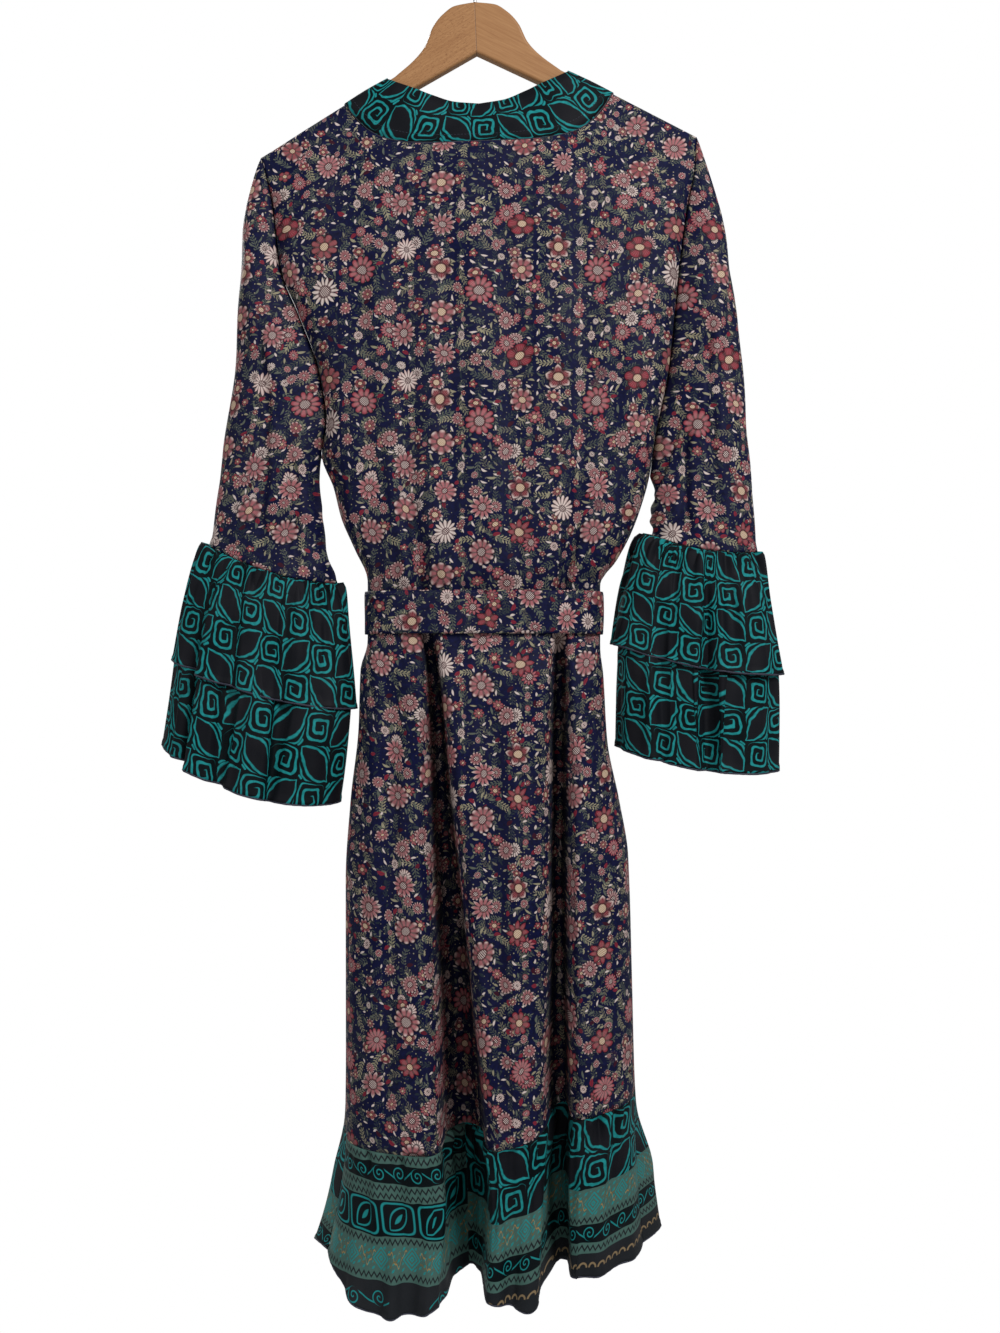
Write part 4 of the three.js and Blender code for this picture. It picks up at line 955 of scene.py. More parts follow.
def belt_tails(material, thread):
    for seed, (name, (x0, x1, end)) in enumerate(TAILS.items()):
        grid = tail_grid(x0, x1, end)
        t = np.linspace(0, 1, 84)[:, None]
        k = np.linspace(-0.5, 0.5, 13)[None, :]
        pleat = (1 - smooth(t / 0.22)) * (1.6 * np.cos(2 * np.pi * k * 2.2) - 0.6)
        ripple = 0.8 * smooth(t / 0.2) * noise(k * 2 + 3 * t, t * 5, 111 + seed)
        grid = grid + normals_of(grid, False, -1) * (pleat + ripple)[..., None]
        grid = spread_front(grid)
        length = lengths_of(grid[:, 6])
        uv = np.stack([k * TAIL_WIDTH + 0 * t + 60 * seed, length[:, None] + 0 * k], 2)
        ob = shell(f"robe_{name}", grid, uv, -1, thick=1.4)
        finish_piece(ob, material, "floral", name)
        for way, column in (("left", -2), ("right", 1)):
            stitches(f"{name}_stitches_{way}", grid[8:, column], thread, "floral")


def belt_knot(material):
    """A flat knot: one turn of the belt over itself, with its creases drawn towards the middle."""
    front = -float(belt_point(np.array([-np.pi / 2]), KNOT_Z)[0, 1]) + SEAM
    lat = np.linspace(-np.pi / 2, np.pi / 2, 41)[:, None]
    lon = np.linspace(0, 2 * np.pi, 73)[None, :]
    power = lambda value, p: np.sign(value) * np.abs(value) ** p
    a = power(np.cos(lat), 0.55)
    x = a * power(np.cos(lon), 0.62)
    z = a * power(np.sin(lon), 0.62)
    y = power(np.sin(lat), 0.8)
    crease = 0.055 * np.cos(9 * z + 2.2 * x) * smooth((1.1 - np.abs(x)) / 0.8) * (1 + y)
    waist = 1 - 0.14 * np.cos(np.pi * x / 2) ** 2
    px = KNOT_X + x * KNOT_WIDE / 2
    pz = KNOT_Z + z * waist * KNOT_TALL / 2
    py = -front - KNOT_THICK / 2 - (y - crease) * KNOT_THICK / 2
    grid = np.stack([px, py, pz], 2)
    rows, count = grid.shape[:2]
    count -= 1
    points = [grid[0, 0].tolist(), *grid[1:-1, :-1].reshape(-1, 3).tolist(), grid[-1, 0].tolist()]
    at = lambda r, c: 1 + (r - 1) * count + c % count
    faces, uv = [], []
    mark = lambda p: (p[0] * 1.1, p[2] * 1.1)
    for c in range(count):
        faces.append((0, at(1, c), at(1, c + 1)))
        faces.append((len(points) - 1, at(rows - 2, c + 1), at(rows - 2, c)))
        for r in range(1, rows - 2):
            faces.append((at(r, c), at(r + 1, c), at(r + 1, c + 1), at(r, c + 1)))
    for f in faces:
        uv += [mark(points[k]) for k in f]
    ob = mesh_piece("robe_belt_knot", points, faces, uv)
    finish_piece(ob, material, "floral", "belt_knot")


# Trim
STITCH_PITCH, STITCH_LENGTH, STITCH_RADIUS = 3.4, 2.3, 0.25


def stitches(name, line, material, slot):
    """A row of short raised threads along a line of points."""
    length = lengths_of(line)
    points, faces = [], []
    one = ring_faces(4, 5)
    for s in np.arange(STITCH_PITCH / 2, length[-1] - STITCH_PITCH / 2, STITCH_PITCH):
        a, b = (
            np.array([np.interp(s + way * STITCH_LENGTH / 2, length, line[:, k]) for k in range(3)])
            for way in (-1, 1)
        )
        way = unit(b - a)
        side = unit(np.cross(way, [0, 1, 0.01]))
        up = np.cross(side, way)
        faces += [tuple(len(points) + k for k in face) for face in one]
        for t, r in ((0, 0.35), (0.25, 1), (0.75, 1), (1, 0.35)):
            for angle in 2 * np.pi * np.arange(5) / 5:
                around = math.cos(angle) * side + math.sin(angle) * up
                points.append(mix(a, b, t) + STITCH_RADIUS * r * around)
    finish_piece(mesh_piece(name, points, faces), material, slot)


def rolled_hem(name, line, material, slot, radius=1.0, closed=False):
    """A narrow rolled edge: a round cord of cloth along a line of points."""
    sides = 7
    if closed:
        tangent = np.roll(line, -1, 0) - np.roll(line, 1, 0)
    else:
        tangent = np.gradient(line, axis=0)
    tangent = unit(tangent)
    up = unit(np.cross(tangent, np.cross([0, 0, 1.0], tangent)))
    side = np.cross(tangent, up)
    turns = 2 * np.pi * np.arange(sides) / sides
    uneven = radius * (1 + 0.18 * noise(np.arange(len(line)) * 0.7, 0 * line[:, 0], 131))[:, None, None]
    ring = side[:, None] * np.cos(turns)[None, :, None] + up[:, None] * np.sin(turns)[None, :, None]
    points = (line[:, None] + uneven * ring).reshape(-1, 3)
    finish_piece(mesh_piece(name, points, ring_faces(len(line), sides, closed)), material, slot)


# Hanger and hook
def hanger(material):
    end_u = HANGER_HALF - HANGER_TIP
    side_u = np.linspace(0, SHOULDER_U, 60)
    arm_u = np.linspace(SHOULDER_U, end_u, 12)[1:]
    under = lambda u: HANGER_NOTCH - UNDER_SLOPE * u
    top = [*zip(side_u, read(HANGER_SIDE, "u", side_u, "w")), *zip(arm_u, arm_top(arm_u))]
    # The round end of the arm
    high, end_high, end_low = arm_top(HANGER_HALF), arm_top(end_u), under(end_u)
    tip = []
    for angle in math.pi / 2 * (1 - 2 * np.linspace(0, 1, 13)[1:-1]):
        middle = (end_high + end_low) / 2 + (high - end_high) * math.cos(angle)
        rise = (end_high - end_low) / 2 * math.sin(angle)
        tip.append((end_u + HANGER_TIP * math.cos(angle), middle + rise))
    half_loop = top + tip + [(u, under(u)) for u in np.linspace(end_u, 0, 30)]
    loop = np.array(half_loop + [(-u, w) for u, w in half_loop[1:-1][::-1]])
    tangent = unit(np.roll(loop, -1, 0) - np.roll(loop, 1, 0))
    inward = np.stack([tangent[:, 1], -tangent[:, 0]], 1)
    points = []
    for way in (-1, 1):
        for angle in np.linspace(0, math.pi / 2, 7)[::-way]:
            bevel = HANGER_BEVEL * (1 - math.sin(angle))
            y = way * (HANGER_THICK / 2 - HANGER_BEVEL + HANGER_BEVEL * math.cos(angle))
            x, z = from_hanger(*(loop + inward * bevel).T)
            points.append(np.stack([x, np.full(len(loop), y), z], 1))
    faces = [face[::-1] for face in ring_faces(len(points), len(loop))]
    ob = mesh_piece("robe_hanger", np.concatenate(points), faces)
    ob.data.polygons.foreach_set("use_smooth", [len(face) == 4 for face in faces])
    finish_piece(ob, material, "wood", "hanger")


def hook(material):
    turn = HOOK_INSIDE + HOOK_RADIUS
    arc = np.radians(np.linspace(*HOOK_ARC, 60))
    bend = [(turn * math.cos(a), turn * math.sin(a) - HOOK_INSIDE) for a in arc]
    stem = [(0, w) for w in np.linspace(HOOK_FOOT, HOOK_STEM, 12)]
    x1, z1 = bend[0]
    t = np.linspace(0, 1, 16)[1:-1, None]
    weights = (1 - t) ** 3, 3 * t * (1 - t) ** 2, 3 * t * t * (1 - t), t**3
    guides = (0, HOOK_STEM), (0, HOOK_STEM + 8), (x1 - 7, z1 - 6), (x1, z1)
    ease = sum(weight * np.array(guide) for weight, guide in zip(weights, guides))
    path = np.concatenate([stem, ease, bend])
    tangent = unit(np.gradient(path, axis=0))
    normal = np.stack([tangent[:, 1], -tangent[:, 0]], 1)
    # The wire, then the round of its end
    ball = math.pi / 2 * np.arange(1, 6) / 6
    centres = np.concatenate([path, path[-1] + tangent[-1] * HOOK_RADIUS * np.sin(ball)[:, None]])
    normals = np.concatenate([normal, np.repeat(normal[-1:], len(ball), 0)])
    radii = HOOK_RADIUS * np.concatenate([np.ones(len(path)), np.cos(ball)])
    sides = 16
    points = []
    for centre, n, r in zip(centres, normals, radii):
        for angle in 2 * np.pi * np.arange(sides) / sides:
            x, z = from_hanger(*(centre + n * r * math.cos(angle)))
            points.append((x, r * math.sin(angle), z))
    ob = mesh_piece("robe_hook", points, ring_faces(len(centres), sides))
    finish_piece(ob, material, "steel", "hook")


# Material nodes. A Number stands for a socket, and sums of it add Math nodes.
class Number:
    def __init__(self, tree, socket):
        self.tree = tree
        self.socket = socket

    def do(self, operation, *others, clamp=False):
        node = self.tree.nodes.new("ShaderNodeMath")
        node.operation = operation
        node.use_clamp = clamp
        for k, value in enumerate((self, *others)):
            connect(self.tree, value, node.inputs[k])
        return Number(self.tree, node.outputs[0])

    def __rsub__(self, other):
        return (self * -1) + other

    __add__ = __radd__ = partialmethod(do, "ADD")
    __sub__ = partialmethod(do, "SUBTRACT")
    __mul__ = __rmul__ = partialmethod(do, "MULTIPLY")
    __truediv__ = partialmethod(do, "DIVIDE")
    __pow__ = partialmethod(do, "POWER")
    abs = partialmethod(do, "ABSOLUTE")
    floor = partialmethod(do, "FLOOR")
    fract = partialmethod(do, "FRACT")
    sine = partialmethod(do, "SINE")
    cosine = partialmethod(do, "COSINE")
    root = partialmethod(do, "SQRT")
    under = partialmethod(do, "LESS_THAN")
    min = partialmethod(do, "MINIMUM")
    max = partialmethod(do, "MAXIMUM")

    def above(self, level, soft):
        """0 below level, 1 above it, with a soft step between."""
        return ((self - level) / soft + 0.5).do("ADD", 0, clamp=True)

    def below(self, level, soft):
        return ((self * -1 + level) / soft + 0.5).do("ADD", 0, clamp=True)


def connect(tree, value, socket):
    if isinstance(value, Number):
        tree.links.new(value.socket, socket)
    else:
        socket.default_value = value


def rgb(r, g, b):
    """A colour as it looks, from 0 to 255, as the linear value that a shader takes."""
    line = lambda c: c / 12.92 if c <= 0.04045 else ((c + 0.055) / 1.055) ** 2.4
    return (*(line(c / 255) for c in (r, g, b)), 1)


def blend(tree, factor, a, b):
    node = tree.nodes.new("ShaderNodeMix")
    node.data_type = "RGBA"
    connect(tree, factor, node.inputs[0])
    for value, socket in ((a, node.inputs[6]), (b, node.inputs[7])):
        if isinstance(value, bpy.types.NodeSocket):
            tree.links.new(value, socket)
        else:
            socket.default_value = value
    return node.outputs[2]


def vector(tree, x, y, z=0.0):
    node = tree.nodes.new("ShaderNodeCombineXYZ")
    for value, socket in zip((x, y, z), node.inputs):
        connect(tree, value, socket)
    return node.outputs[0]


def cut_place(tree):
    """The place in the cut cloth, in millimetres."""
    node = tree.nodes.new("ShaderNodeUVMap")
    node.uv_map = "cut"
    parts = tree.nodes.new("ShaderNodeSeparateXYZ")
    tree.links.new(node.outputs[0], parts.inputs[0])
    return Number(tree, parts.outputs[0]), Number(tree, parts.outputs[1])


def object_place(tree):
    return tree.nodes.new("ShaderNodeTexCoord").outputs["Object"]


def cloud(tree, place, scale, detail=2.0):
    node = tree.nodes.new("ShaderNodeTexNoise")
    node.inputs["Scale"].default_value = scale
    node.inputs["Detail"].default_value = detail
    tree.links.new(place, node.inputs["Vector"])
    return Number(tree, node.outputs["Fac"])


def patches(tree, u, v, across, down, layer, detail=2.0):
    """Soft patches on the cut cloth. Each layer is another pattern."""
    return cloud(tree, vector(tree, u * across, v * down, layer), 1.0, detail)


def draws(tree, x, y, seed):
    """Four random numbers from 0 to 1 for each cell of a repeat."""
    node = tree.nodes.new("ShaderNodeTexWhiteNoise")
    node.noise_dimensions = "3D"
    tree.links.new(vector(tree, x, y, float(seed)), node.inputs["Vector"])
    parts = tree.nodes.new("ShaderNodeSeparateColor")
    tree.links.new(node.outputs["Color"], parts.inputs[0])
    return [Number(tree, node.outputs["Value"]), *(Number(tree, out) for out in parts.outputs[:3])]


REPEAT_WIDE, REPEAT_TALL = 116.0, 128.0  # the floral print's repeat, in millimetres


def cells(tree, u, v, count, shift, seed):
    """The repeat divided into count by count cells in staggered columns: the place from the cell's
    middle, in millimetres, and four random numbers of the cell."""
    x = u / (REPEAT_WIDE / count) + shift[0]
    column = x.floor()
    stagger = (column * 0.5).fract()
    y = v / (REPEAT_TALL / count) + shift[1] + stagger
    row = y.floor()
    random = draws(tree, (column / count).fract(), (row / count).fract(), seed)
    return (x - column - 0.5) * (REPEAT_WIDE / count), (y - row - 0.5) * (REPEAT_TALL / count), random


NAVY = rgb(17, 23, 70)
RED = rgb(138, 40, 54)
ROSE = rgb(170, 76, 88)
CREAM = rgb(242, 224, 216)
SAGE = rgb(106, 112, 98)
PALE_LEAF = rgb(172, 164, 134)
DARK_LEAF = rgb(40, 50, 58)
OCHRE = rgb(176, 140, 84)
WINE = rgb(66, 18, 30)
SHADE = rgb(10, 11, 30)
BLACK = rgb(3, 15, 19)
CHARCOAL = rgb(19, 21, 27)
TEAL = rgb(32, 150, 152)
BORDER_SAGE = rgb(78, 112, 104)
HEM_BLACK = rgb(34, 38, 42)


def flowers(tree, ground, u, v, count, shift, seed, low, high, share, loose):
    """A scatter of open flowers over a ground colour: daisies, rosettes, poppies and mixes of them."""
    x, y, (r0, r1, r2, r3) = cells(tree, u, v, count, shift, seed)
    e0, e1, e2, e3 = draws(tree, r1 * 91.0, r2 * 57.0, seed + 0.5)
    radius = r0 * (high - low) + low
    x = x - (r1 - 0.5) * loose
    y = (y - (r2 - 0.5) * loose) / (e0 * 0.24 + 0.84)
    angle = y.do("ARCTAN2", x)
    far = (x * x + y * y).root() / radius
    petals = (e1 * 3.99).floor() * 3 + 5
    lobe = (angle * petals / (2 * math.pi) + e2 * 6).do("PINGPONG", 0.5) * 2
    pointed = e3.above(0.45, 0.02)
    rim = 1 - (e3 * 0.26 + 0.16) * (1 - lobe) ** (pointed * -1.4 + 2.4)
    inside = far / rim
    mask = inside.below(1.0, 0.08) * r3.below(share, 0.01)
    ground = blend(tree, inside.below(1.13, 0.1) * r3.below(share, 0.01) * 0.8, ground, SHADE)
    petal = blend(tree, e0.above(0.45, 0.02), RED, ROSE)
    petal = blend(tree, e0.above(0.88, 0.02), petal, CREAM)
    flush = blend(tree, e2.above(0.5, 0.02), ROSE, WINE)
    petal = blend(tree, inside.above(0.62, 0.7) * 0.35, petal, flush)
    tip = blend(tree, e2.above(0.34, 0.02) * 0.9, petal, CREAM)
    colour = blend(tree, inside.above(0.86, 0.2) * lobe, petal, tip)
    gap = lobe.below(0.4, 0.4) * inside.above(0.3, 0.3)
    colour = blend(tree, gap * 0.9, colour, WINE)
    streak = (lobe * 3.0).do("PINGPONG", 0.5).above(0.3, 0.25)
    streak = streak * band_between(inside, 0.3, 0.86, 0.16)
    colour = blend(tree, streak * (e0 * 0.34 + 0.12), colour, CREAM)
    heart_size = r1 * 0.16 + 0.2
    colour = blend(tree, (far / heart_size).below(1.35, 0.3) * 0.85, colour, WINE)
    seeds = ((x * 3.4).sine() * (y * 3.4).sine()).above(0.15, 0.4)
    heart = blend(tree, seeds, blend(tree, e1.above(0.5, 0.02), OCHRE, WINE), CREAM)
    colour = blend(tree, (far / heart_size).below(1.0, 0.2), colour, heart)
    return blend(tree, mask, ground, colour)


def leaves(tree, ground, u, v, count, shift, seed, length, wide, colours, share):
    """A scatter of single lens-shaped leaves."""
    x, y, (r0, r1, r2, r3) = cells(tree, u, v, count, shift, seed)
    angle = r0 * 6.28
    c, s = angle.cosine(), angle.sine()
    a = x * c + y * s
    b = y * c - x * s + a * a * 0.05
    reach = length * (r1 * 0.4 + 0.6)
    taper = 1 - (a / reach) ** 2.0
    off = b.abs() - taper.max(0) * wide
    mask = off.below(0.0, 0.5) * a.abs().under(reach) * r3.below(share, 0.01)
    colour = blend(tree, r2.above(0.45, 0.02), colours[0], colours[1])
    colour = blend(tree, r2.above(0.8, 0.02), colour, colours[2])
    vein = b.abs().below(wide * 0.14, 0.3)
    colour = blend(tree, vein * 0.5, colour, NAVY)
    return blend(tree, mask, ground, colour)


def sprigs(tree, ground, u, v, count, shift, seed, length, colours, share):
    """Curved stems with small leaves in pairs."""
    x, y, (r0, r1, r2, r3) = cells(tree, u, v, count, shift, seed)
    angle = r0 * 6.28
    c, s = angle.cosine(), angle.sine()
    a = x * c + y * s
    b = y * c - x * s + a * a * (r1 - 0.5) * 0.09
    within = a.abs().below(length, 0.6) * r3.below(share, 0.01)
    stem = b.abs().below(0.28, 0.35)
    side = b.abs()
    step = ((a - side * 0.8) / 3.1).fract() - 0.5
    leaf = (step.abs() * 3.1 + (side - 1.9).abs() * 0.5).below(0.95, 0.5)
    taper = side.below(3.2, 0.4)
    mask = stem.max(leaf * taper) * within
    colour = blend(tree, r2, colours[0], colours[1])
    return blend(tree, mask, ground, colour)


def dots(tree, ground, u, v, count, seed, colour, share):
    """Small round seeds in two sizes."""
    x, y, (r0, r1, r2, r3) = cells(tree, u, v, count, (0.2, 0.3), seed)
    x = x - (r1 - 0.5) * 3
    y = y - (r2 - 0.5) * 3
    far = (x * x + y * y).root()
    large = far.below(0.6, 0.4) * r0.above(0.6, 0.02)
    mask = far.below(0.35, 0.4).max(large) * r3.below(share, 0.01)
    return blend(tree, mask, ground, colour)


def bump(tree, height, strength, distance):
    node = tree.nodes.new("ShaderNodeBump")
    node.inputs["Strength"].default_value = strength
    node.inputs["Distance"].default_value = distance
    tree.links.new(height.socket, node.inputs["Height"])
    return node.outputs[0]


def weave(tree, u, v, print_relief=None):
    """A fine plain weave with slubs, as a bump."""
    threads = (u * 9.0).sine() * 0.5 + (v * 9.0).sine() * 0.5
    slub = patches(tree, u, v, 0.12, 1.9, 0.0, 3.0) * 1.6
    height = threads * 0.35 + slub
    if print_relief is not None:
        height = height + print_relief
    return bump(tree, height, 0.22, 0.0003)


def new_material(name, roughness, sheen=0.0, metallic=0.0):
    material = bpy.data.materials.new(name)
    material.use_nodes = True
    tree = material.node_tree
    shader = tree.nodes["Principled BSDF"]
    shader.inputs["Roughness"].default_value = roughness
    shader.inputs["Sheen Weight"].default_value = sheen
    shader.inputs["Sheen Roughness"].default_value = 0.4
    shader.inputs["Metallic"].default_value = metallic
    return material, tree, shader


def cloth_finish(tree, shader, colour, u, v, relief=None):
    """Uneven dye over a print, and the weave's bump and gloss."""
    shader.inputs["Specular IOR Level"].default_value = 0.1
    fade = patches(tree, u, v, 0.02, 0.02, 3.0, 3.0)
    worn = blend(tree, fade.above(0.62, 0.5) * 0.06, colour, rgb(120, 112, 118))
    tree.links.new(worn, shader.inputs["Base Color"])
    tree.links.new(weave(tree, u, v, relief), shader.inputs["Normal"])
    shine = patches(tree, u, v, 0.05, 0.4, 7.0) * 0.14 + 0.5
    tree.links.new(shine.socket, shader.inputs["Roughness"])


def floral_material():
    material, tree, shader = new_material("floral_satin", 0.5, sheen=0.02)
    u, v = cut_place(tree)
    wander = patches(tree, u, v, 0.045, 0.045, 0.0, 1.0)
    u2 = u + (wander - 0.5) * 7
    v2 = v + (wander - 0.5) * 5
    shade = patches(tree, u, v, 0.3, 0.3, 1.0)
    ground = blend(tree, shade.above(0.5, 0.6), NAVY, rgb(9, 12, 38))
    c = dots(tree, ground, u, v, 22, 11, PALE_LEAF, 0.7)
    # Cells across, shift, seed, length, colours and share
    for layer in (
        (7, (0.1, 0.6), 12, 7.2, (DARK_LEAF, SAGE), 0.9),
        (6, (0.6, 0.15), 13, 8.0, (DARK_LEAF, PALE_LEAF), 0.6),
    ):
        c = sprigs(tree, c, u2, v2, *layer)
    # Cells across, shift, seed, length, width, colours and share
    for layer in (
        (12, (0.35, 0.8), 14, 4.4, 1.0, (SAGE, DARK_LEAF, PALE_LEAF), 0.85),
        (11, (0.85, 0.3), 15, 3.4, 0.9, (CREAM, PALE_LEAF, CREAM), 0.55),
        (9, (0.15, 0.4), 25, 4.6, 1.8, (RED, WINE, RED), 0.3),
    ):
        c = leaves(tree, c, u2, v2, *layer)
    # Cells across, shift, seed, least and greatest radius, share, and how far off its cell's middle
    for layer in (
        (9, (0.5, 0.5), 16, 2.6, 4.2, 0.36, 3.0),
        (6, (0.25, 0.75), 17, 4.2, 6.4, 0.4, 4.5),
        (5, (0.75, 0.3), 19, 5.6, 8.2, 0.4, 4.0),
        (3, (0.0, 0.0), 18, 10.5, 13.5, 0.66, 6.0),
    ):
        c = flowers(tree, c, u2, v2, *layer)
    cloth_finish(tree, shader, c, u, v)
    return material


DIAGONAL = 0.7071
ZIGZAG_HIGH, ZIGZAG_PERIOD = 4.6, 6.4


def lattice(tree, u, v, cell):
    """Black with teal lines: square spirals and pointed leaves in turn, the leaves charcoal inside."""
    wobble = patches(tree, u, v, 0.05, 0.05, 0.0)
    wobble2 = patches(tree, u, v, 0.05, 0.05, 9.0)
    a = (u + (wobble - 0.5) * 9) / cell
    b = (v + (wobble2 - 0.5) * 9) / cell
    i, j = a.floor(), b.floor()
    x, y = a - i - 0.5, b - j - 0.5
    odd = ((i + j) * 0.5).fract().do("GREATER_THAN", 0.25)
    flip = ((i * 0.5).fract() * 4 - 1) * -1
    # Spirals: the distance in a rounded square grows with the turn
    xf = x * flip
    square = ((x.abs() ** 5.0 + y.abs() ** 5.0) ** 0.2) * 2
    turn = y.do("ARCTAN2", xf) / (2 * math.pi)
    pitch = 0.39
    spiral = ((square / pitch - turn).fract() - 0.5).abs()
    line = spiral.below(0.18, 0.08) * square.below(0.86, 0.03) * square.above(0.16, 0.04)
    # Leaves: a pointed leaf on the diagonal, inside a second line of the same shape
    p, q = (xf + y) * DIAGONAL, (y - xf) * DIAGONAL
    shape = (1 - (p / 0.7) ** 2.0).max(0)
    within = p.abs().under(0.7)
    leaf = (q.abs() - shape * 0.35).abs().below(0.036, 0.025) * within
    ring = (q.abs() - shape * 0.52).abs().below(0.031, 0.025) * p.abs().under(0.62)
    corner = (q.abs() - 0.6).abs().below(0.03, 0.025) * p.abs().under(0.1)
    figure = leaf.max(ring).max(corner)
    mask = line * (1 - odd) + figure * odd
    patchy = patches(tree, u, v, 0.5, 0.5, 4.0, 3.0).above(0.34, 0.3)
    mask = (mask * (patchy * 0.3 + 0.7)).do("ADD", 0, clamp=True)
    fill = (q.abs() - shape * 0.35).below(0.0, 0.02) * within * odd
    tone = patches(tree, u, v, 0.2, 0.2, 2.0)
    teal = blend(tree, tone.above(0.5, 0.5), rgb(24, 128, 130), rgb(38, 166, 168))
    return blend(tree, mask, blend(tree, fill, BLACK, CHARCOAL), teal), mask


def print_material():
    material, tree, shader = new_material("teal_print_satin", 0.5, sheen=0.02)
    u, v = cut_place(tree)
    colour, mask = lattice(tree, u, v, 31.0)
    cloth_finish(tree, shader, colour, u, v, mask * 0.6)
    return material


def band_between(v, top, foot, soft=0.4):
    return v.above(top, soft) * v.below(foot, soft)


def zigzag(u, v, middle):
    tooth = (u / ZIGZAG_PERIOD).do("PINGPONG", 0.5) * 2 - 0.5
    return (v - middle - tooth * ZIGZAG_HIGH).abs().below(1.25, 0.6)


def scrolls(u, v, middle, cell, reach):
    """Running scrolls: in each cell a small spiral on a wavy line."""
    i = (u / cell).floor()
    flip = ((i * 0.5).fract() * 4 - 1) * -1
    x = (u / cell - i - 0.5) * cell
    y = (v - middle) * flip
    far = (x * x + y * y).root()
    turn = y.do("ARCTAN2", x) / (2 * math.pi)
    curl = ((far / (reach * 0.62) - turn).fract() - 0.5).abs().below(0.13, 0.1) * far.below(reach, 0.5)
    sway = ((u / cell) * math.pi).sine() * reach * 0.75
    link = (v - middle - sway).abs().below(0.7, 0.6) * far.above(reach, 0.5)
    return curl.max(link)


def drops(u, v, middle, cell):
    """Leaves in frames: a rounded frame with a pointed leaf in it."""
    i = (u / cell).floor()
    x = (u / cell - i - 0.5) * cell
    y = v - middle
    box = ((x / (cell * 0.43)).abs() ** 6.0 + (y / 14.0).abs() ** 6.0) ** 0.1667
    frame_line = (box - 1).abs().below(0.06, 0.05)
    p, q = (x + y) * DIAGONAL, (y - x) * DIAGONAL
    shape = (1 - (p / 15.0) ** 2.0).max(0)
    leaf = (q.abs() - shape * 8.6).abs().below(0.9, 0.6) * p.abs().under(15.0)
    core = (q.abs() - (1 - (p / 7.0) ** 2.0).max(0) * 2.2).below(0.0, 0.8) * p.abs().under(7.0)
    return frame_line.max(leaf).max(core)


def fine_floral(tree, ground, u, v, cell):
    """A close pattern of diamonds, leaves and curls in teal and ochre."""
    x = ((u / cell).fract() - 0.5) * cell
    lozenge = x.abs() + v.abs() * 0.9
    ring = ((lozenge / 3.6).fract() - 0.5).abs().below(0.2, 0.14) * lozenge.below(10.8, 0.5)
    around = lozenge.above(11.5, 1)
    stem = ((u * 0.33).sine() * 5.2 + (u * 0.9).sine() * 1.8 - v).abs().below(0.7, 0.6)
    second = ((u * 0.33 + 2.6).sine() * 6.2 + (u * 1.1).sine() * 1.6 - v).abs().below(0.7, 0.6)
    a = ((u / 6.3).fract() - 0.5) * 6.3
    b = ((v / 6.3 + (u / 6.3).floor() * 0.5).fract() - 0.5) * 6.3
    leaf = ((a + b).abs() * 0.5 + (a - b).abs() * 1.2).below(2.0, 0.6)
    c = blend(tree, leaf * around * 0.9, ground, TEAL)
    c = blend(tree, second * around * 0.9, c, OCHRE)
    c = blend(tree, stem * around, c, rgb(120, 108, 70))
    return blend(tree, ring, c, TEAL)


def border_material():
    material, tree, shader = new_material("border_print_satin", 0.5, sheen=0.02)
    u, v = cut_place(tree)
    sway = patches(tree, u, v, 0.02, 0.02, 0.0, 1.0) * 5 - 2.5
    v = v + sway
    # Border one, behind the wearer's left: scrolls, leaves in frames, fine flowers and a plain edge
    c = blend(tree, v.below(10, 0.5), BLACK, BORDER_SAGE)
    for top, foot in ((28, 44), (77, 118)):
        c = blend(tree, band_between(v, top, foot), c, BORDER_SAGE)
    for middle in (5, 32.5, 40, 81.5, 113):
        c = blend(tree, zigzag(u, v, middle), c, HEM_BLACK)
    c = blend(tree, scrolls(u, v, 19, 23.0, 7.4), c, TEAL)
    c = blend(tree, drops(u, v, 60.5, 44.0) * band_between(v, 44, 77), c, TEAL)
    c = blend(tree, band_between(v, 86, 108), c, fine_floral(tree, BORDER_SAGE, u, v - 97, 38.0))
    c = blend(tree, v.above(118, 0.5), c, HEM_BLACK)
    here = v.above(119, 0.5) * (u / 120).fract().below(0.55, 0.02)
    c = blend(tree, scrolls(u, v, 134, 30.0, 7.5) * here, c, TEAL)
    # Border two, all the rest: the lattice, fine flowers, scrolls and a row of arcs
    d = blend(tree, v.above(66, 0.5), lattice(tree, u, v, 34.0)[0], BORDER_SAGE)
    d = blend(tree, band_between(v, 68, 92), d, fine_floral(tree, BORDER_SAGE, u, v - 80, 40.0))
    for middle in (96, 122):
        d = blend(tree, zigzag(u, v, middle), d, HEM_BLACK)
    d = blend(tree, band_between(v, 100, 117), d, BLACK)
    d = blend(tree, scrolls(u, v, 108.5, 23.0, 7.0) * band_between(v, 100, 117), d, TEAL)
    d = blend(tree, v.above(127, 0.5), d, HEM_BLACK)
    x, y = ((u / 11).fract() - 0.5) * 11, v - 140
    arc = ((x * x + y * y).root() - 4).abs().below(0.9, 0.6) * v.below(140, 0.5)
    d = blend(tree, arc * v.above(128, 0.5), d, rgb(150, 128, 96))
    both = blend(tree, u.above(0, 0.8) * u.below(420, 0.8), d, c)
    cloth_finish(tree, shader, both, u, v)
    return material


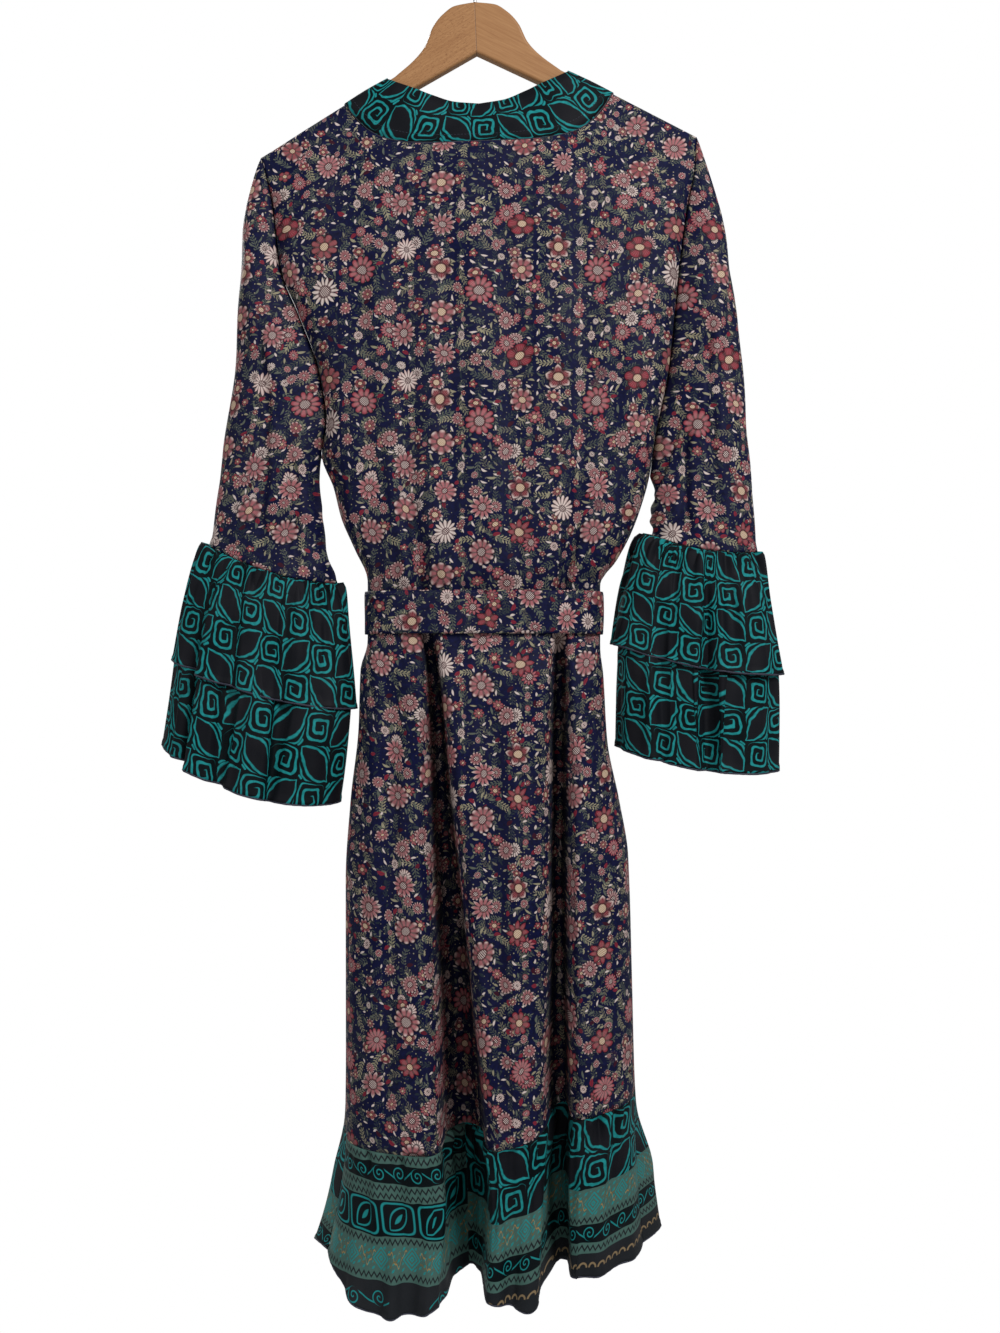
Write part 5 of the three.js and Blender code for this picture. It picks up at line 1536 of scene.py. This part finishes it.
def wood_material():
    material, tree, shader = new_material("beech_wood", 0.42)
    parts = tree.nodes.new("ShaderNodeSeparateXYZ")
    tree.links.new(object_place(tree), parts.inputs[0])
    x, y, z = (Number(tree, out) for out in parts.outputs)
    # Millimetres in the hanger's own frame
    u = (x * math.cos(TILT) - z * math.sin(TILT)) * 1000
    w = (x * math.sin(TILT) + z * math.cos(TILT)) * 1000
    y = y * 1000
    side = u.do("SIGN")
    along_arm = u.abs() * 0.87 - w * 0.49
    across_arm = u.abs() * 0.49 + w * 0.87
    grain = cloud(tree, vector(tree, along_arm * 0.02, across_arm * 0.55, y * 0.3 + side * 20), 1.0, 5.0)
    fine = cloud(tree, vector(tree, along_arm * 0.09, across_arm * 2.2, y * 1.2 + side * 9), 1.0, 3.0)
    fleck = cloud(tree, vector(tree, along_arm * 0.33, across_arm * 1.5, y * 0.8), 1.0, 2.0)
    base = blend(tree, grain.above(0.5, 0.5), rgb(196, 146, 98), rgb(172, 120, 74))
    base = blend(tree, fine.above(0.58, 0.25) * 0.35, base, rgb(150, 100, 60))
    specks = fleck.above(0.61, 0.07) * u.above(0, 0.5)
    base = blend(tree, specks * 0.75, base, rgb(142, 92, 54))
    joint = u.abs().below(0.3, 0.3)
    base = blend(tree, joint * 0.8, base, rgb(104, 68, 40))
    tree.links.new(base, shader.inputs["Base Color"])
    height = fine * 0.6 + grain * 0.8 - joint * 2.0
    tree.links.new(bump(tree, height, 0.25, 0.0004), shader.inputs["Normal"])
    tree.links.new((grain * 0.16 + 0.34).socket, shader.inputs["Roughness"])
    return material


def steel_material():
    material, tree, shader = new_material("steel_wire", 0.25, metallic=1.0)
    scratch = cloud(tree, object_place(tree), 900.0, 3.0)
    tone = blend(tree, scratch.above(0.5, 0.5), rgb(196, 199, 203), rgb(172, 176, 180))
    tree.links.new(tone, shader.inputs["Base Color"])
    tree.links.new((scratch * 0.14 + 0.17).socket, shader.inputs["Roughness"])
    return material


def thread_material(name, colour):
    material, tree, shader = new_material(name, 0.6, sheen=0.1)
    fuzz = cloud(tree, object_place(tree), 1800.0, 2.0)
    tone = blend(tree, fuzz.above(0.5, 0.6), colour, rgb(70, 72, 96))
    tree.links.new(tone, shader.inputs["Base Color"])
    return material


# Studio
SKY = 0.27  # how strongly the white world lights the robe


def plain_floor():
    """A round of pale paper below the robe."""
    floor, radius, sides = -1600.0, 360.0, 96
    turns = 2 * np.pi * np.arange(sides) / sides
    points = [(radius * math.cos(a), radius * math.sin(a), z) for z in (floor - 20, floor) for a in turns]
    faces = ring_faces(2, sides)
    ob = mesh_piece("floor", points, faces)
    ob.data.polygons.foreach_set("use_smooth", [False] * len(faces))
    material, tree, shader = new_material("pale_paper", 0.9)
    tone = blend(tree, cloud(tree, object_place(tree), 3.0), rgb(244, 244, 245), rgb(250, 250, 250))
    tree.links.new(tone, shader.inputs["Base Color"])
    ob.data.materials.append(material)


def add_light(name, place, aim, power, size):
    data = bpy.data.lights.new(name, "AREA")
    data.energy = power
    data.size = size
    ob = bpy.data.objects.new(name, data)
    ob.location = place
    way = np.array(aim, float) - np.array(place, float)
    flat = math.hypot(way[0], way[1])
    ob.rotation_euler = (math.atan2(flat, -way[2]), 0, math.atan2(-way[0], way[1]))
    bpy.context.scene.collection.objects.link(ob)


def lights():
    middle = (0, 0, -0.7)
    add_light("key", (-1.4, 1.9, 0.8), middle, 40, 0.9)
    add_light("fill", (1.8, 1.9, 0.1), middle, 12, 1.4)
    add_light("front_key", (1.2, -2.0, 0.9), middle, 46, 1.0)
    world = bpy.data.worlds.new("soft_world")
    world.use_nodes = True
    tree = world.node_tree
    background = tree.nodes["Background"]
    background.inputs["Color"].default_value = (1, 1, 1, 1)
    seen = Number(tree, tree.nodes.new("ShaderNodeLightPath").outputs["Is Camera Ray"])
    tree.links.new((seen * (1 - SKY) + SKY).socket, background.inputs["Strength"])
    bpy.context.scene.world = world
    bpy.context.scene.view_settings.view_transform = "Standard"


def camera():
    data = bpy.data.cameras.new("camera")
    data.sensor_fit = "HORIZONTAL"
    data.sensor_width = 36
    data.lens = 46.8
    ob = bpy.data.objects.new("camera", data)
    ob.location = (-0.028, 1.3, -0.727)
    ob.rotation_euler = (math.pi / 2, 0, math.pi)
    bpy.context.scene.collection.objects.link(ob)
    bpy.context.scene.camera = ob


camera()
plain_floor()
lights()
floral = floral_material()
teal_print = print_material()
border = border_material()
navy_thread = thread_material("navy_thread", rgb(30, 34, 66))
black_thread = thread_material("black_thread", rgb(18, 20, 24))
hanger(wood_material())
hook(steel_material())
back_panel(floral)
neck_band(teal_print, black_thread)
hem_back(border, black_thread)
for side in (1, -1):
    front_panel(side, floral)
    hem_front(side, border, black_thread)
    sleeve(side, floral)
    cuff_tier(side, "upper", teal_print, black_thread)
    cuff_tier(side, "lower", teal_print, black_thread)
belt(floral, navy_thread)
belt_knot(floral)
belt_tails(floral, navy_thread)
